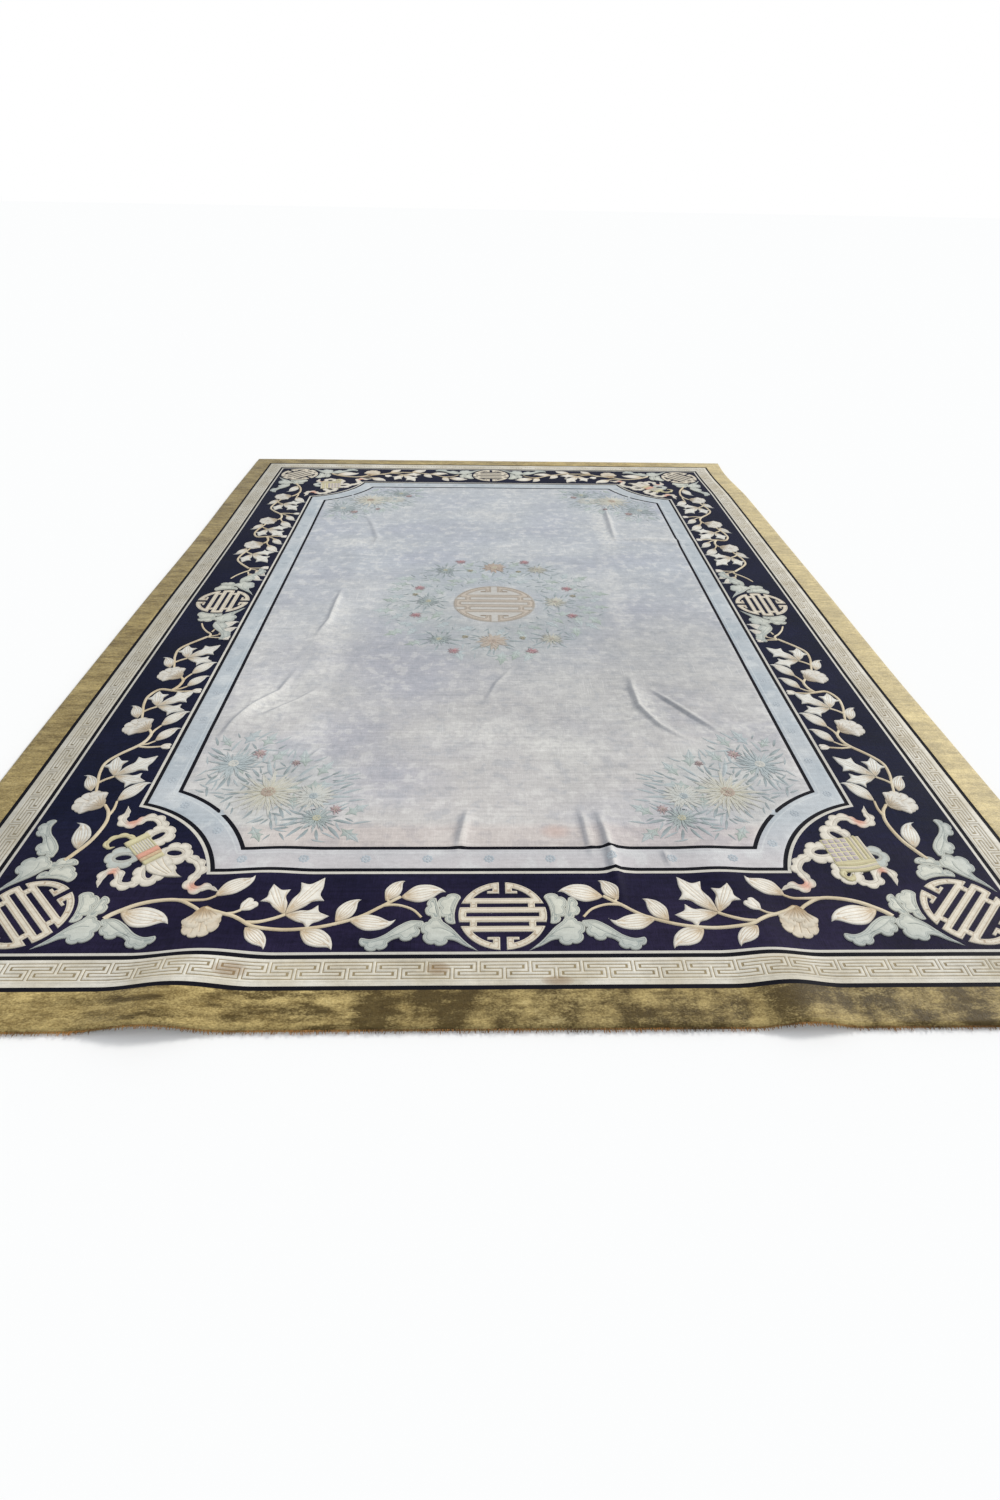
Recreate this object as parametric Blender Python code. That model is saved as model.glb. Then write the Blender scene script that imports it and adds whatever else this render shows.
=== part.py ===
"""Hand-knotted carved silk rug, room size, lying on a floor with the soft ripples left by folding.

The rug is one piece: foundation and pile together are a slab with a flat underside, lifted off the
floor only under its ripples. Its upper face carries the grooves that are carved along the guard lines
of the border and along the inner frame, whose corners step in with round notches.
Origin at the middle of the rug on the floor, X across the width, Y along the length, metres.
"""

import math

import bmesh
import bpy
from mathutils import Vector
from mathutils.geometry import delaunay_2d_cdt, intersect_point_line

# Driving dimensions
RUG_WIDTH = 3.05
RUG_LENGTH = 4.27
THICKNESS = 0.012

# The pile leans outward at the cut edge
EDGE_ROUND = 0.006
EDGE_DROP = 0.004

# Carved grooves, by the distance of their middle from the rug's edge
OUTER_GUARD = 0.104
FRET_GUARD = 0.193
GROUND_GUARD = 0.482
FIELD_GUARD = 0.566
GROOVE_HALF_WIDTH = 0.006
GROOVE_DEPTH = 0.0025

# Round notches of the inner frame: each arc's centre is this far in from both edges
NOTCH_CENTRE = 0.385
NOTCH_INSET = 0.100
NOTCH_STEPS = 8

# Spacing of the points that carry the surface
SIDE_STEP = 0.120
RIPPLED_STEP = 0.045
FIELD_STEP = 0.165
LEAST_GAP = 0.020

# Rows of points along a ripple, in half widths from its crest, and their step in half widths
ROW_OFFSETS = (0.0, -0.35, 0.35, -0.7, 0.7, -1.05, 1.05)
ROW_STEP = 0.6

# Where the woven sides draw in: side (+1 right, -1 left), along Y, half length, depth
EDGE_BOWS = (
    (+1, 1.88, 0.45, 0.020),
    (+1, -0.60, 0.90, 0.006),
    (-1, 0.70, 0.80, 0.007),
    (-1, -1.40, 0.50, 0.005),
)

# Ripples that folding left, each a line of points: x, y, half width, height of its crest
RIPPLES = {
    "near_left": (
        (-0.80, -2.18, 0.17, 0.025),
        (-0.74, -2.00, 0.17, 0.022),
        (-0.67, -1.84, 0.15, 0.012),
        (-0.60, -1.60, 0.12, 0.005),
        (-0.56, -1.38, 0.10, 0.000),
    ),
    "near_right": (
        (0.68, -2.18, 0.13, 0.019),
        (0.66, -2.02, 0.13, 0.017),
        (0.63, -1.88, 0.12, 0.010),
        (0.58, -1.64, 0.10, 0.005),
        (0.55, -1.40, 0.09, 0.000),
    ),
    "near_middle": (
        (0.30, -1.38, 0.05, 0.000),
        (0.30, -1.50, 0.06, 0.007),
        (0.31, -1.62, 0.06, 0.007),
        (0.31, -1.76, 0.05, 0.000),
    ),
    "near_centre": (
        (-0.10, -1.36, 0.06, 0.000),
        (-0.11, -1.46, 0.07, 0.005),
        (-0.13, -1.58, 0.06, 0.000),
    ),
    "left_long": (
        (-0.72, 1.00, 0.08, 0.000),
        (-0.70, 0.76, 0.09, 0.005),
        (-0.66, 0.34, 0.09, 0.005),
        (-0.69, 0.02, 0.08, 0.004),
        (-0.72, -0.24, 0.09, 0.008),
        (-0.68, -0.50, 0.09, 0.005),
        (-0.65, -0.84, 0.09, 0.006),
        (-0.62, -1.10, 0.08, 0.000),
    ),
    "left_short": (
        (-0.79, -0.64, 0.07, 0.000),
        (-0.83, -0.77, 0.08, 0.010),
        (-0.88, -0.92, 0.08, 0.009),
        (-0.93, -1.06, 0.07, 0.000),
    ),
    "right_curl": (
        (0.51, -0.56, 0.07, 0.000),
        (0.49, -0.74, 0.08, 0.008),
        (0.50, -0.93, 0.08, 0.009),
        (0.57, -1.06, 0.07, 0.006),
        (0.68, -1.13, 0.06, 0.000),
    ),
    "right_short": (
        (0.61, -0.71, 0.05, 0.000),
        (0.67, -0.82, 0.06, 0.006),
        (0.76, -0.95, 0.06, 0.006),
        (0.85, -1.03, 0.05, 0.000),
    ),
    "right_far": (
        (0.72, 1.56, 0.07, 0.000),
        (0.68, 1.32, 0.08, 0.005),
        (0.61, 0.86, 0.08, 0.004),
        (0.62, 0.62, 0.07, 0.000),
    ),
    "right_cross": (
        (0.66, 0.76, 0.05, 0.000),
        (0.80, 0.74, 0.06, 0.005),
        (0.95, 0.72, 0.06, 0.004),
        (1.08, 0.71, 0.05, 0.000),
    ),
}

PILE_COLOUR = (0.48, 0.48, 0.50, 1.0)


def ripple_stretches():
    """Each straight stretch of a ripple: its start and end point, half widths and heights."""
    for rows in RIPPLES.values():
        for first, second in zip(rows, rows[1:]):
            yield Vector(first[:2]), Vector(second[:2]), first[2:], second[2:]


STRETCHES = list(ripple_stretches())


def ripple_height(point):
    """How far the ripples lift the rug off the floor at a point."""
    lift = 0.0
    for start, end, first, second in STRETCHES:
        _, share = intersect_point_line(point, start, end)
        share = min(max(share, 0.0), 1.0)
        half_width = first[0] + (second[0] - first[0]) * share
        height = first[1] + (second[1] - first[1]) * share
        away = (point - start.lerp(end, share)).length / half_width
        if away < 1.0:
            lift = max(lift, height * 0.5 * (1.0 + math.cos(math.pi * away)))
    return lift


def drawn_in(point):
    """The point moved inward where the nearest woven side bows in."""
    x, y = point
    for side, along, half_length, depth in EDGE_BOWS:
        away = abs(y - along) / half_length
        if away < 1.0:
            share = max(0.0, side * x) / (RUG_WIDTH / 2)
            x -= side * depth * share**4 * 0.5 * (1.0 + math.cos(math.pi * away))
    return Vector((x, y))


def run(start, end, step):
    """Points from start up to but not including end, about step apart."""
    count = max(1, round((end - start).length / step))
    return [start.lerp(end, i / count) for i in range(count)]


def step_along(start, end):
    """The near side lies across the ripples, so its points are closer."""
    near = -RUG_LENGTH / 2 + FIELD_GUARD + 0.1
    return RIPPLED_STEP if max(start.y, end.y) < near else SIDE_STEP


def closed_run(corners):
    """The corners with points between them, as a closed outline."""
    outline = []
    for start, end in zip(corners, corners[1:] + corners[:1]):
        outline += run(start, end, step_along(start, end))
    return outline


def rectangle(inset):
    """The outline that lies inset from the rug's edge, anticlockwise."""
    x, y = RUG_WIDTH / 2 - inset, RUG_LENGTH / 2 - inset
    return closed_run([Vector(c) for c in ((-x, -y), (x, -y), (x, y), (-x, y))])


def notch_arc(inset, quadrant):
    """The points of one corner's round notch, in anticlockwise order round the frame."""
    radius = inset - NOTCH_INSET
    reach = inset - NOTCH_CENTRE
    first = math.asin(reach / radius)
    last = math.pi / 2 - first
    turns = [first + (last - first) * i / NOTCH_STEPS for i in range(NOTCH_STEPS + 1)]
    inward = [Vector((radius * math.cos(a), radius * math.sin(a))) for a in turns]
    side_x, side_y = quadrant
    centre_x = side_x * (RUG_WIDTH / 2 - NOTCH_CENTRE)
    centre_y = side_y * (RUG_LENGTH / 2 - NOTCH_CENTRE)
    arc = [Vector((centre_x - side_x * p.x, centre_y - side_y * p.y)) for p in inward]
    # Two of the corners are mirrored, which turns their arcs the other way round
    return arc[::-1] if side_x == side_y else arc


def notched_frame(inset):
    """The inner frame's outline at this inset, anticlockwise, with a notch at each corner."""
    arcs = [notch_arc(inset, q) for q in ((-1, -1), (1, -1), (1, 1), (-1, 1))]
    outline = []
    for arc, following in zip(arcs, arcs[1:] + arcs[:1]):
        outline += arc[:-1]
        outline += run(arc[-1], following[0], step_along(arc[-1], following[0]))
    return outline


def carved_outlines():
    """(outline, how far it lies below the pile's top), from the edge inward."""
    outlines = [(rectangle(0.0), EDGE_DROP), (rectangle(EDGE_ROUND), 0.0)]
    guards = (
        (OUTER_GUARD, rectangle),
        (FRET_GUARD, rectangle),
        (GROUND_GUARD, notched_frame),
        (FIELD_GUARD, notched_frame),
    )
    for middle, frame in guards:
        outlines.append((frame(middle - GROOVE_HALF_WIDTH), 0.0))
        outlines.append((frame(middle), GROOVE_DEPTH))
        outlines.append((frame(middle + GROOVE_HALF_WIDTH), 0.0))
    return outlines


def field_points():
    """Points in rows along each ripple, and on a grid."""
    points = []
    for start, end, first, second in STRETCHES:
        across = (end - start).normalized().orthogonal()
        for offset in ROW_OFFSETS:
            row_start = start + across * first[0] * offset
            row_end = end + across * second[0] * offset
            points += run(row_start, row_end, first[0] * ROW_STEP)
            points.append(row_end)
    across_count = round(RUG_WIDTH / FIELD_STEP)
    along_count = round(RUG_LENGTH / FIELD_STEP)
    for i in range(1, across_count):
        for j in range(1, along_count):
            x = (i / across_count - 0.5) * RUG_WIDTH
            y = (j / along_count - 0.5) * RUG_LENGTH
            points.append(Vector((x, y)))
    return points


def spaced_points(candidates, taken):
    """The candidates inside the rug that keep their distance from each other and from taken."""
    cells = {}

    def cell(point):
        return math.floor(point.x / LEAST_GAP), math.floor(point.y / LEAST_GAP)

    def crowded(point):
        column, row = cell(point)
        near = (cells.get((column + i, row + j), ()) for i in (-1, 0, 1) for j in (-1, 0, 1))
        return any((point - other).length < LEAST_GAP for group in near for other in group)

    for point in taken:
        cells.setdefault(cell(point), []).append(point)
    kept = []
    for point in candidates:
        inside_x = abs(point.x) < RUG_WIDTH / 2 - LEAST_GAP
        inside_y = abs(point.y) < RUG_LENGTH / 2 - LEAST_GAP
        if inside_x and inside_y and not crowded(point):
            cells.setdefault(cell(point), []).append(point)
            kept.append(point)
    return kept


def add_face_of_rug(bm, outlines, height, upward):
    """Triangulates between the outlines and lifts each point by height(point, drop)."""
    points, drops, edges = [], [], []
    for outline, drop in outlines:
        first, count = len(points), len(outline)
        edges += [(first + i, first + (i + 1) % count) for i in range(count)]
        points += outline
        drops += [drop] * count
    # A dense copy of the outlines keeps loose points clear of the lines between their points
    dense = [
        p
        for outline, _ in outlines
        for start, end in zip(outline, outline[1:] + outline[:1])
        for p in run(start, end, LEAST_GAP / 2)
    ]
    loose = spaced_points(field_points(), dense)
    points += loose
    drops += [0.0] * len(loose)
    inside_of_constraints = 1
    flat, _, triangles, *_ = delaunay_2d_cdt(points, edges, [], inside_of_constraints, 1e-6)
    if len(flat) != len(points):
        raise ValueError("an outline crosses itself or its neighbour")
    verts = []
    for point, drop in zip(flat, drops):
        bowed = drawn_in(point)
        verts.append(bm.verts.new((bowed.x, bowed.y, height(point, drop))))
    for triangle in triangles:
        corners = [verts[i] for i in triangle]
        bm.faces.new(corners if upward else corners[::-1])
    ring = len(outlines[0][0])
    return [bm.edges.get((verts[i], verts[(i + 1) % ring])) for i in range(ring)]


def make_rug():
    """The carved upper face and the underside, joined at the rug's edge into one closed solid."""
    bm = bmesh.new()
    outlines = carved_outlines()

    def top(point, drop):
        return ripple_height(point) + THICKNESS - drop

    def underside(point, drop):
        return ripple_height(point)

    rim = add_face_of_rug(bm, outlines, top, upward=True)
    rim += add_face_of_rug(bm, outlines[:1], underside, upward=False)
    bmesh.ops.bridge_loops(bm, edges=rim)
    bmesh.ops.triangulate(bm, faces=bm.faces)
    bmesh.ops.recalc_face_normals(bm, faces=bm.faces)
    mesh = bpy.data.meshes.new("rug")
    bm.to_mesh(mesh)
    bm.free()
    mesh.shade_smooth()
    mesh.set_sharp_from_angle(angle=math.radians(35))
    return bpy.data.objects.new("rug", mesh)


def pile_material():
    material = bpy.data.materials.new("silk_pile")
    material.use_nodes = True
    shader = material.node_tree.nodes["Principled BSDF"]
    shader.inputs["Base Color"].default_value = PILE_COLOUR
    shader.inputs["Roughness"].default_value = 0.55
    shader.inputs["Metallic"].default_value = 0.0
    return material


def main():
    for existing in list(bpy.data.objects):
        bpy.data.objects.remove(existing, do_unlink=True)
    collection = bpy.data.collections.new("silk_rug")
    bpy.context.scene.collection.children.link(collection)
    rug = make_rug()
    rug.data.materials.append(pile_material())
    collection.objects.link(rug)


main()
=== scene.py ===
"""A room-size hand-knotted silk rug with carved borders, laid on a studio floor.

Every pattern is drawn flat, in metres across (x) and along (y) the rug from its middle, and is then
laid on the rippled pile. The near left quarter is drawn, and mirrored into the other three.
"""

import math
import random

import bmesh
import bpy
import numpy as np
from mathutils import Matrix, Vector, noise
from mathutils.geometry import delaunay_2d_cdt


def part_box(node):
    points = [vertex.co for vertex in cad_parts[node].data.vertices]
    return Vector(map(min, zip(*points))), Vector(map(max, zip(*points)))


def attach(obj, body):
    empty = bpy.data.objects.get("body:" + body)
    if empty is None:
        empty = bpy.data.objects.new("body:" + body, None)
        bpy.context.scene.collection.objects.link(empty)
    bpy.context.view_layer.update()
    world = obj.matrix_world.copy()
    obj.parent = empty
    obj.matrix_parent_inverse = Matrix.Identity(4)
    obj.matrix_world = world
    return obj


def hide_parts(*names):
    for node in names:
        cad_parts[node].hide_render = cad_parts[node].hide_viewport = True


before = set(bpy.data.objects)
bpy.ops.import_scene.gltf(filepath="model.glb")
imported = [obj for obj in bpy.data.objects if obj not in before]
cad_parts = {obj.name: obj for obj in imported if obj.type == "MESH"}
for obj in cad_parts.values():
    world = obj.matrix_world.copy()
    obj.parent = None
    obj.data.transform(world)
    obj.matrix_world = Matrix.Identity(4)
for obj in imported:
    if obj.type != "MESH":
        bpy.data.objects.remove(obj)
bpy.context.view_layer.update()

# Half the rug's width and length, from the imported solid, and its thickness
HALF_WIDTH, HALF_LENGTH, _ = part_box("rug")[1]
THICKNESS = 0.012

# The rounded pile at the cut edge: how far in, and how far it drops
EDGE_SHOULDER = ((0.0, 0.0060), (0.002, 0.0026), (0.006, 0.0))

# Borders between the bands, and the middles of the dark guard lines, by distance from the rug's edge
OUTER_GUARD = 0.104
FRET_GUARD = 0.193
GROUND_START = 0.207
GROUND_END = 0.467
GROUND_GUARD = 0.482
FIELD_GUARD = 0.566
GUARD_HALF_WIDTH = 0.006
GUARD_DEPTH = 0.0025

# Insets up to this one are counted from the straight edge, and further in from the notched frame
BORDER_SPLIT = GROUND_START + 0.02

# The fretwork's grid of rows, counted inward from its outer edge
FRET_START = 0.1245
FRET_ROW = 0.0094
FRET_ROWS = 6
FRET_END = FRET_START + FRET_ROWS * FRET_ROW

# Round notches of the inner frame: each arc's centre is this far in from both edges.
# The inner guard line breaks off in the middle of each arc.
NOTCH_CENTRE = 0.385
NOTCH_INSET = 0.100
NOTCH_STEP = 0.015
BREAK_HALF_WIDTH = 0.008
BREAK_REACH = 0.011

# Middle line of the floral border, and the roundels on it
BORDER_MIDDLE = 0.332
ROUNDEL_RADIUS = 0.112
SIDE_ROUNDEL = (HALF_WIDTH - 0.343, -0.014)
END_ROUNDEL_Y = HALF_LENGTH - 0.323
CORNER_ROUNDEL = np.array((HALF_WIDTH - BORDER_MIDDLE, HALF_LENGTH - BORDER_MIDDLE))

# The field's middle
FIELD_MIDDLE = (0.0, -0.02)

# Carved relief: heights, the rounding of a rim, and the grooves along veins and inside rims
RELIEF = 0.0026
FIELD_RELIEF = 0.0017
LEAF_RELIEF = 0.0009
SUNK = -0.003
ROUNDING = 0.0040
VEIN_DEPTH = 0.0011
VEIN_HALF_WIDTH = 0.0019
CONTOUR_DEPTH = 0.8 * VEIN_DEPTH
CONTOUR_HALF_WIDTH = 0.0016

# Steps of the meshes, and the rows of points inside a carved rim
RIM_STEP = 0.0043
INNER_STEP = 0.0070
RIM_ROWS = (0.0013, 0.0034)
GROUND_STEP = 0.0158
UNDERSIDE_STEP = 0.060

# Signs of the corners, anticlockwise from the near left one, and signs that mirror the near left quarter
CORNERS = ((-1, -1), (1, -1), (1, 1), (-1, 1))
QUARTERS = ((1, 1), (-1, 1), (1, -1), (-1, -1))

# Where the woven sides draw in: side (+1 right, -1 left), along Y, half length, depth
EDGE_BOWS = (
    (+1, 1.88, 0.45, 0.020),
    (+1, -0.60, 0.90, 0.006),
    (-1, 0.70, 0.80, 0.007),
    (-1, -1.40, 0.50, 0.005),
)

# Ripples that folding left, each a line of points: x, y, half width, height of its crest
RIPPLES = {
    "near_left": (
        (-0.80, -2.18, 0.17, 0.025), (-0.74, -2.00, 0.17, 0.022), (-0.67, -1.84, 0.15, 0.012),
        (-0.60, -1.60, 0.12, 0.005), (-0.56, -1.38, 0.10, 0.000),
    ),
    "near_right": (
        (0.68, -2.18, 0.13, 0.019), (0.66, -2.02, 0.13, 0.017), (0.63, -1.88, 0.12, 0.010),
        (0.58, -1.64, 0.10, 0.005), (0.55, -1.40, 0.09, 0.000),
    ),
    "near_middle": (
        (0.30, -1.38, 0.05, 0.000), (0.30, -1.50, 0.06, 0.007), (0.31, -1.62, 0.06, 0.007),
        (0.31, -1.76, 0.05, 0.000),
    ),
    "near_centre": (
        (-0.10, -1.36, 0.06, 0.000), (-0.11, -1.46, 0.07, 0.005), (-0.13, -1.58, 0.06, 0.000),
    ),
    "left_long": (
        (-0.72, 1.00, 0.08, 0.000), (-0.70, 0.76, 0.09, 0.005), (-0.66, 0.34, 0.09, 0.005),
        (-0.69, 0.02, 0.08, 0.004), (-0.72, -0.24, 0.09, 0.008), (-0.68, -0.50, 0.09, 0.005),
        (-0.65, -0.84, 0.09, 0.006), (-0.62, -1.10, 0.08, 0.000),
    ),
    "left_short": (
        (-0.79, -0.64, 0.07, 0.000), (-0.83, -0.77, 0.08, 0.010), (-0.88, -0.92, 0.08, 0.009),
        (-0.93, -1.06, 0.07, 0.000),
    ),
    "right_curl": (
        (0.51, -0.56, 0.07, 0.000), (0.49, -0.74, 0.08, 0.008), (0.50, -0.93, 0.08, 0.009),
        (0.57, -1.06, 0.07, 0.006), (0.68, -1.13, 0.06, 0.000),
    ),
    "right_short": (
        (0.61, -0.71, 0.05, 0.000), (0.67, -0.82, 0.06, 0.006), (0.76, -0.95, 0.06, 0.006),
        (0.85, -1.03, 0.05, 0.000),
    ),
    "right_far": (
        (0.72, 1.56, 0.07, 0.000), (0.68, 1.32, 0.08, 0.005), (0.61, 0.86, 0.08, 0.004),
        (0.62, 0.62, 0.07, 0.000),
    ),
    "right_cross": (
        (0.66, 0.76, 0.05, 0.000), (0.80, 0.74, 0.06, 0.005), (0.95, 0.72, 0.06, 0.004),
        (1.08, 0.71, 0.05, 0.000),
    ),
}

# Sharp creases of the pile on and beside the ripples, in the same columns
CREASES = {
    "near_pinch": (
        (0.288, -1.40, 0.021, 0.000), (0.298, -1.50, 0.021, 0.008), (0.304, -1.60, 0.022, 0.011),
        (0.306, -1.70, 0.022, 0.007), (0.312, -1.80, 0.021, 0.000),
    ),
    "near_centre": (
        (-0.088, -1.400, 0.022, 0.000), (-0.098, -1.450, 0.024, 0.007), (-0.110, -1.520, 0.024, 0.007),
        (-0.122, -1.600, 0.022, 0.000),
    ),
    "near_double": (
        (0.236, -1.390, 0.020, 0.000), (0.244, -1.450, 0.022, 0.006), (0.249, -1.530, 0.022, 0.006),
        (0.256, -1.620, 0.020, 0.000),
    ),
    "right_cross": (
        (0.680, 0.750, 0.024, 0.000), (0.780, 0.742, 0.026, 0.007), (0.920, 0.736, 0.026, 0.006),
        (1.020, 0.736, 0.024, 0.000),
    ),
    "near_tick": (
        (0.452, -1.57, 0.013, 0.000), (0.455, -1.60, 0.015, 0.005), (0.462, -1.65, 0.013, 0.000),
    ),
    "curl_crest": (
        (0.505, -0.62, 0.025, 0.000), (0.497, -0.74, 0.024, 0.009), (0.502, -0.86, 0.022, 0.011),
        (0.552, -0.97, 0.022, 0.009), (0.655, -1.06, 0.021, 0.000),
    ),
    "right_line": (
        (0.560, -0.72, 0.016, 0.000), (0.610, -0.80, 0.018, 0.008), (0.684, -0.91, 0.018, 0.008),
        (0.760, -1.01, 0.016, 0.000),
    ),
    "left_pinch": (
        (-0.745, -0.58, 0.021, 0.000), (-0.776, -0.76, 0.021, 0.009), (-0.850, -0.87, 0.022, 0.013),
        (-0.892, -0.96, 0.021, 0.009), (-0.920, -1.06, 0.019, 0.000),
    ),
    "left_line": (
        (-0.680, 0.12, 0.019, 0.000), (-0.685, -0.02, 0.021, 0.010), (-0.688, -0.20, 0.021, 0.010),
        (-0.724, -0.36, 0.019, 0.000),
    ),
    "left_sweep": (
        (-0.640, -0.74, 0.018, 0.000), (-0.690, -0.81, 0.019, 0.009), (-0.750, -0.86, 0.019, 0.009),
        (-0.830, -0.93, 0.018, 0.000),
    ),
    "left_tick": (
        (-0.566, -1.09, 0.013, 0.000), (-0.588, -1.13, 0.015, 0.005), (-0.620, -1.18, 0.013, 0.000),
    ),
    "far_left": (
        (-0.700, 1.12, 0.024, 0.000), (-0.640, 0.94, 0.026, 0.004), (-0.590, 0.74, 0.026, 0.004),
        (-0.610, 0.58, 0.024, 0.000),
    ),
    "far_right": (
        (0.646, 1.34, 0.022, 0.000), (0.642, 1.12, 0.025, 0.008), (0.638, 0.86, 0.025, 0.007),
        (0.640, 0.70, 0.021, 0.000),
    ),
    "middle": (
        (0.084, -0.54, 0.016, 0.000), (0.000, -0.70, 0.018, 0.005), (-0.052, -0.86, 0.016, 0.000),
    ),
}

# Rows of ground points along a crease: how far beside it, and their step
CREASE_ROWS = (0.0, 0.006, -0.006, 0.013, -0.013, 0.020, -0.020)
CREASE_STEP = 0.009

# How far on each side a crease's slope is measured, and the slope that looks darkest
SLOPE_REACH = 0.004
SHADED_SLOPE = 0.35

# Soft swell of the pile between the ripples: size of a swell, and its height
SWELLS = ((0.42, 0.0016), (0.13, 0.0007))


def along_rows(points, rows):
    """The lift that one ripple's rows give to flat points."""
    lift = np.zeros(len(points))
    for first, second in zip(rows, rows[1:]):
        start, end = np.array(first), np.array(second)
        way = (end - start)[:2]
        share = np.clip((points - start[:2]) @ way / (way @ way), 0.0, 1.0)
        crest = start + np.outer(share, end - start)
        away = np.linalg.norm(points - crest[:, :2], axis=1) / crest[:, 2]
        rounded = 0.5 * (1.0 + np.cos(np.pi * np.minimum(away, 1.0)))
        lift = np.maximum(lift, crest[:, 3] * rounded)
    return lift


def ripple_height(points):
    """How far the ripples lift the rug off the floor."""
    return np.max([along_rows(points, rows) for rows in RIPPLES.values()], axis=0)


def crease_height(points):
    """How far the creases raise the pile above the ripples."""
    return np.max([along_rows(points, rows) for rows in CREASES.values()], axis=0)


def crease_shade(points):
    """0 to 1 where a crease's side faces left, away from the light."""
    reach = np.array((SLOPE_REACH, 0.0))
    slope = (crease_height(points + reach) - crease_height(points - reach)) / (2.0 * SLOPE_REACH)
    return np.clip(slope / SHADED_SLOPE, 0.0, 1.0)


def drawn_in(points):
    """The points moved inward where the nearest woven side bows in."""
    x, y = points[:, 0].copy(), points[:, 1]
    for side, along, half_length, depth in EDGE_BOWS:
        away = np.minimum(np.abs(y - along) / half_length, 1.0)
        share = np.maximum(0.0, side * x) / HALF_WIDTH
        x -= side * depth * share**4 * 0.5 * (1.0 + np.cos(np.pi * away))
    return np.column_stack((x, y))


def swell(points):
    """The gentle unevenness of the pile, never below the solid's own face."""
    height = np.zeros(len(points))
    for size, rise in SWELLS:
        waves = [noise.noise(Vector((x / size, y / size, rise * 1e4))) for x, y in points]
        height += rise * (0.5 + 0.5 * np.array(waves))
    return height


def lay(points, rise):
    """Flat points at a height above the pile, laid on the rippled rug."""
    top = ripple_height(points) + crease_height(points) + swell(points) + THICKNESS
    return np.column_stack((drawn_in(points), top + rise))


def inset_of(points):
    """Distance in from the rug's straight edge."""
    return np.minimum(HALF_WIDTH - np.abs(points[:, 0]), HALF_LENGTH - np.abs(points[:, 1]))


def frame_inset(points):
    """Distance in as the notched inner frame counts it."""
    from_notch = np.hypot(
        HALF_WIDTH - NOTCH_CENTRE - np.abs(points[:, 0]),
        HALF_LENGTH - NOTCH_CENTRE - np.abs(points[:, 1]),
    )
    return np.minimum(inset_of(points), from_notch + NOTCH_INSET)


# Drawing


def direction(degrees):
    """A step of one at an angle from the X axis."""
    turn = math.radians(degrees)
    return np.array((math.cos(turn), math.sin(turn)))


def run(start, end, step):
    """Points from start up to but not including end."""
    count = max(1, math.ceil(np.linalg.norm(np.subtract(end, start)) / step))
    share = np.arange(count)[:, None] / count
    return np.asarray(start) * (1.0 - share) + np.asarray(end) * share


def smooth(points, step=RIM_STEP):
    """A soft curve through the points, its last one included."""
    points = np.asarray(points, float)
    ends = 2 * points[0] - points[1], 2 * points[-1] - points[-2]
    padded = np.vstack((ends[0], points, ends[1]))
    pieces = []
    for before, start, end, after in zip(padded, padded[1:], padded[2:], padded[3:]):
        count = max(2, math.ceil(np.linalg.norm(end - start) / step))
        t = np.arange(count)[:, None] / count
        bend = 2 * before - 5 * start + 4 * end - after
        pieces.append(
            start
            + 0.5 * ((end - before) * t + bend * t**2 + (3 * start - before - 3 * end + after) * t**3)
        )
    return np.vstack((*pieces, points[-1:]))


def lobes(cusps, bulge=0.40):
    """Round lobes from cusp to cusp, to the right of the way round."""
    pieces = []
    cusps = np.asarray(cusps, float)
    for start, end in zip(cusps, cusps[1:]):
        chord = end - start
        outward = np.array((chord[1], -chord[0])) * bulge
        count = max(4, math.ceil(1.4 * np.linalg.norm(chord) / RIM_STEP))
        turn = np.pi * np.arange(count)[:, None] / count
        pieces.append(start + chord * 0.5 * (1.0 - np.cos(turn)) + outward * np.sin(turn))
    return np.vstack((*pieces, cusps[-1:]))


def straight(points, step=RIM_STEP):
    """A line with sharp corners, its last point included."""
    points = np.asarray(points, float)
    return np.vstack([run(a, b, step) for a, b in zip(points, points[1:])] + [points[-1:]])


def closed(*stretches):
    """One outline from stretches that each start where the last one ends."""
    return np.vstack([stretch[:-1] for stretch in stretches])


def box_outline(low, high, step=RIM_STEP):
    """A rectangle between two corners."""
    (x0, y0), (x1, y1) = low, high
    return straight(((x0, y0), (x1, y0), (x1, y1), (x0, y1), (x0, y0)), step)[:-1]


def arc(centre, radius, first, last, step=RIM_STEP):
    """Points on a circle between two angles in degrees, both ends included."""
    count = max(3, math.ceil(abs(math.radians(last - first)) * radius / step))
    turn = np.radians(np.linspace(first, last, count + 1))
    return np.asarray(centre) + radius * np.column_stack((np.cos(turn), np.sin(turn)))


# Points that are worked on at a time
BATCH = 1000


def distance_to(points, lines):
    """Each point's distance to the nearest of the lines."""
    starts = np.vstack([line[:-1] for line in lines])
    ways = np.vstack([line[1:] for line in lines]) - starts
    lengths = np.maximum((ways**2).sum(1), 1e-12)
    nearest = []
    for batch in np.array_split(points, 1 + len(points) // BATCH):
        offset = batch[:, None, :] - starts[None]
        share = np.clip((offset * ways).sum(2) / lengths, 0.0, 1.0)
        offset -= share[..., None] * ways
        nearest.append(np.sqrt((offset**2).sum(2).min(1)))
    return np.concatenate(nearest)


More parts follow.
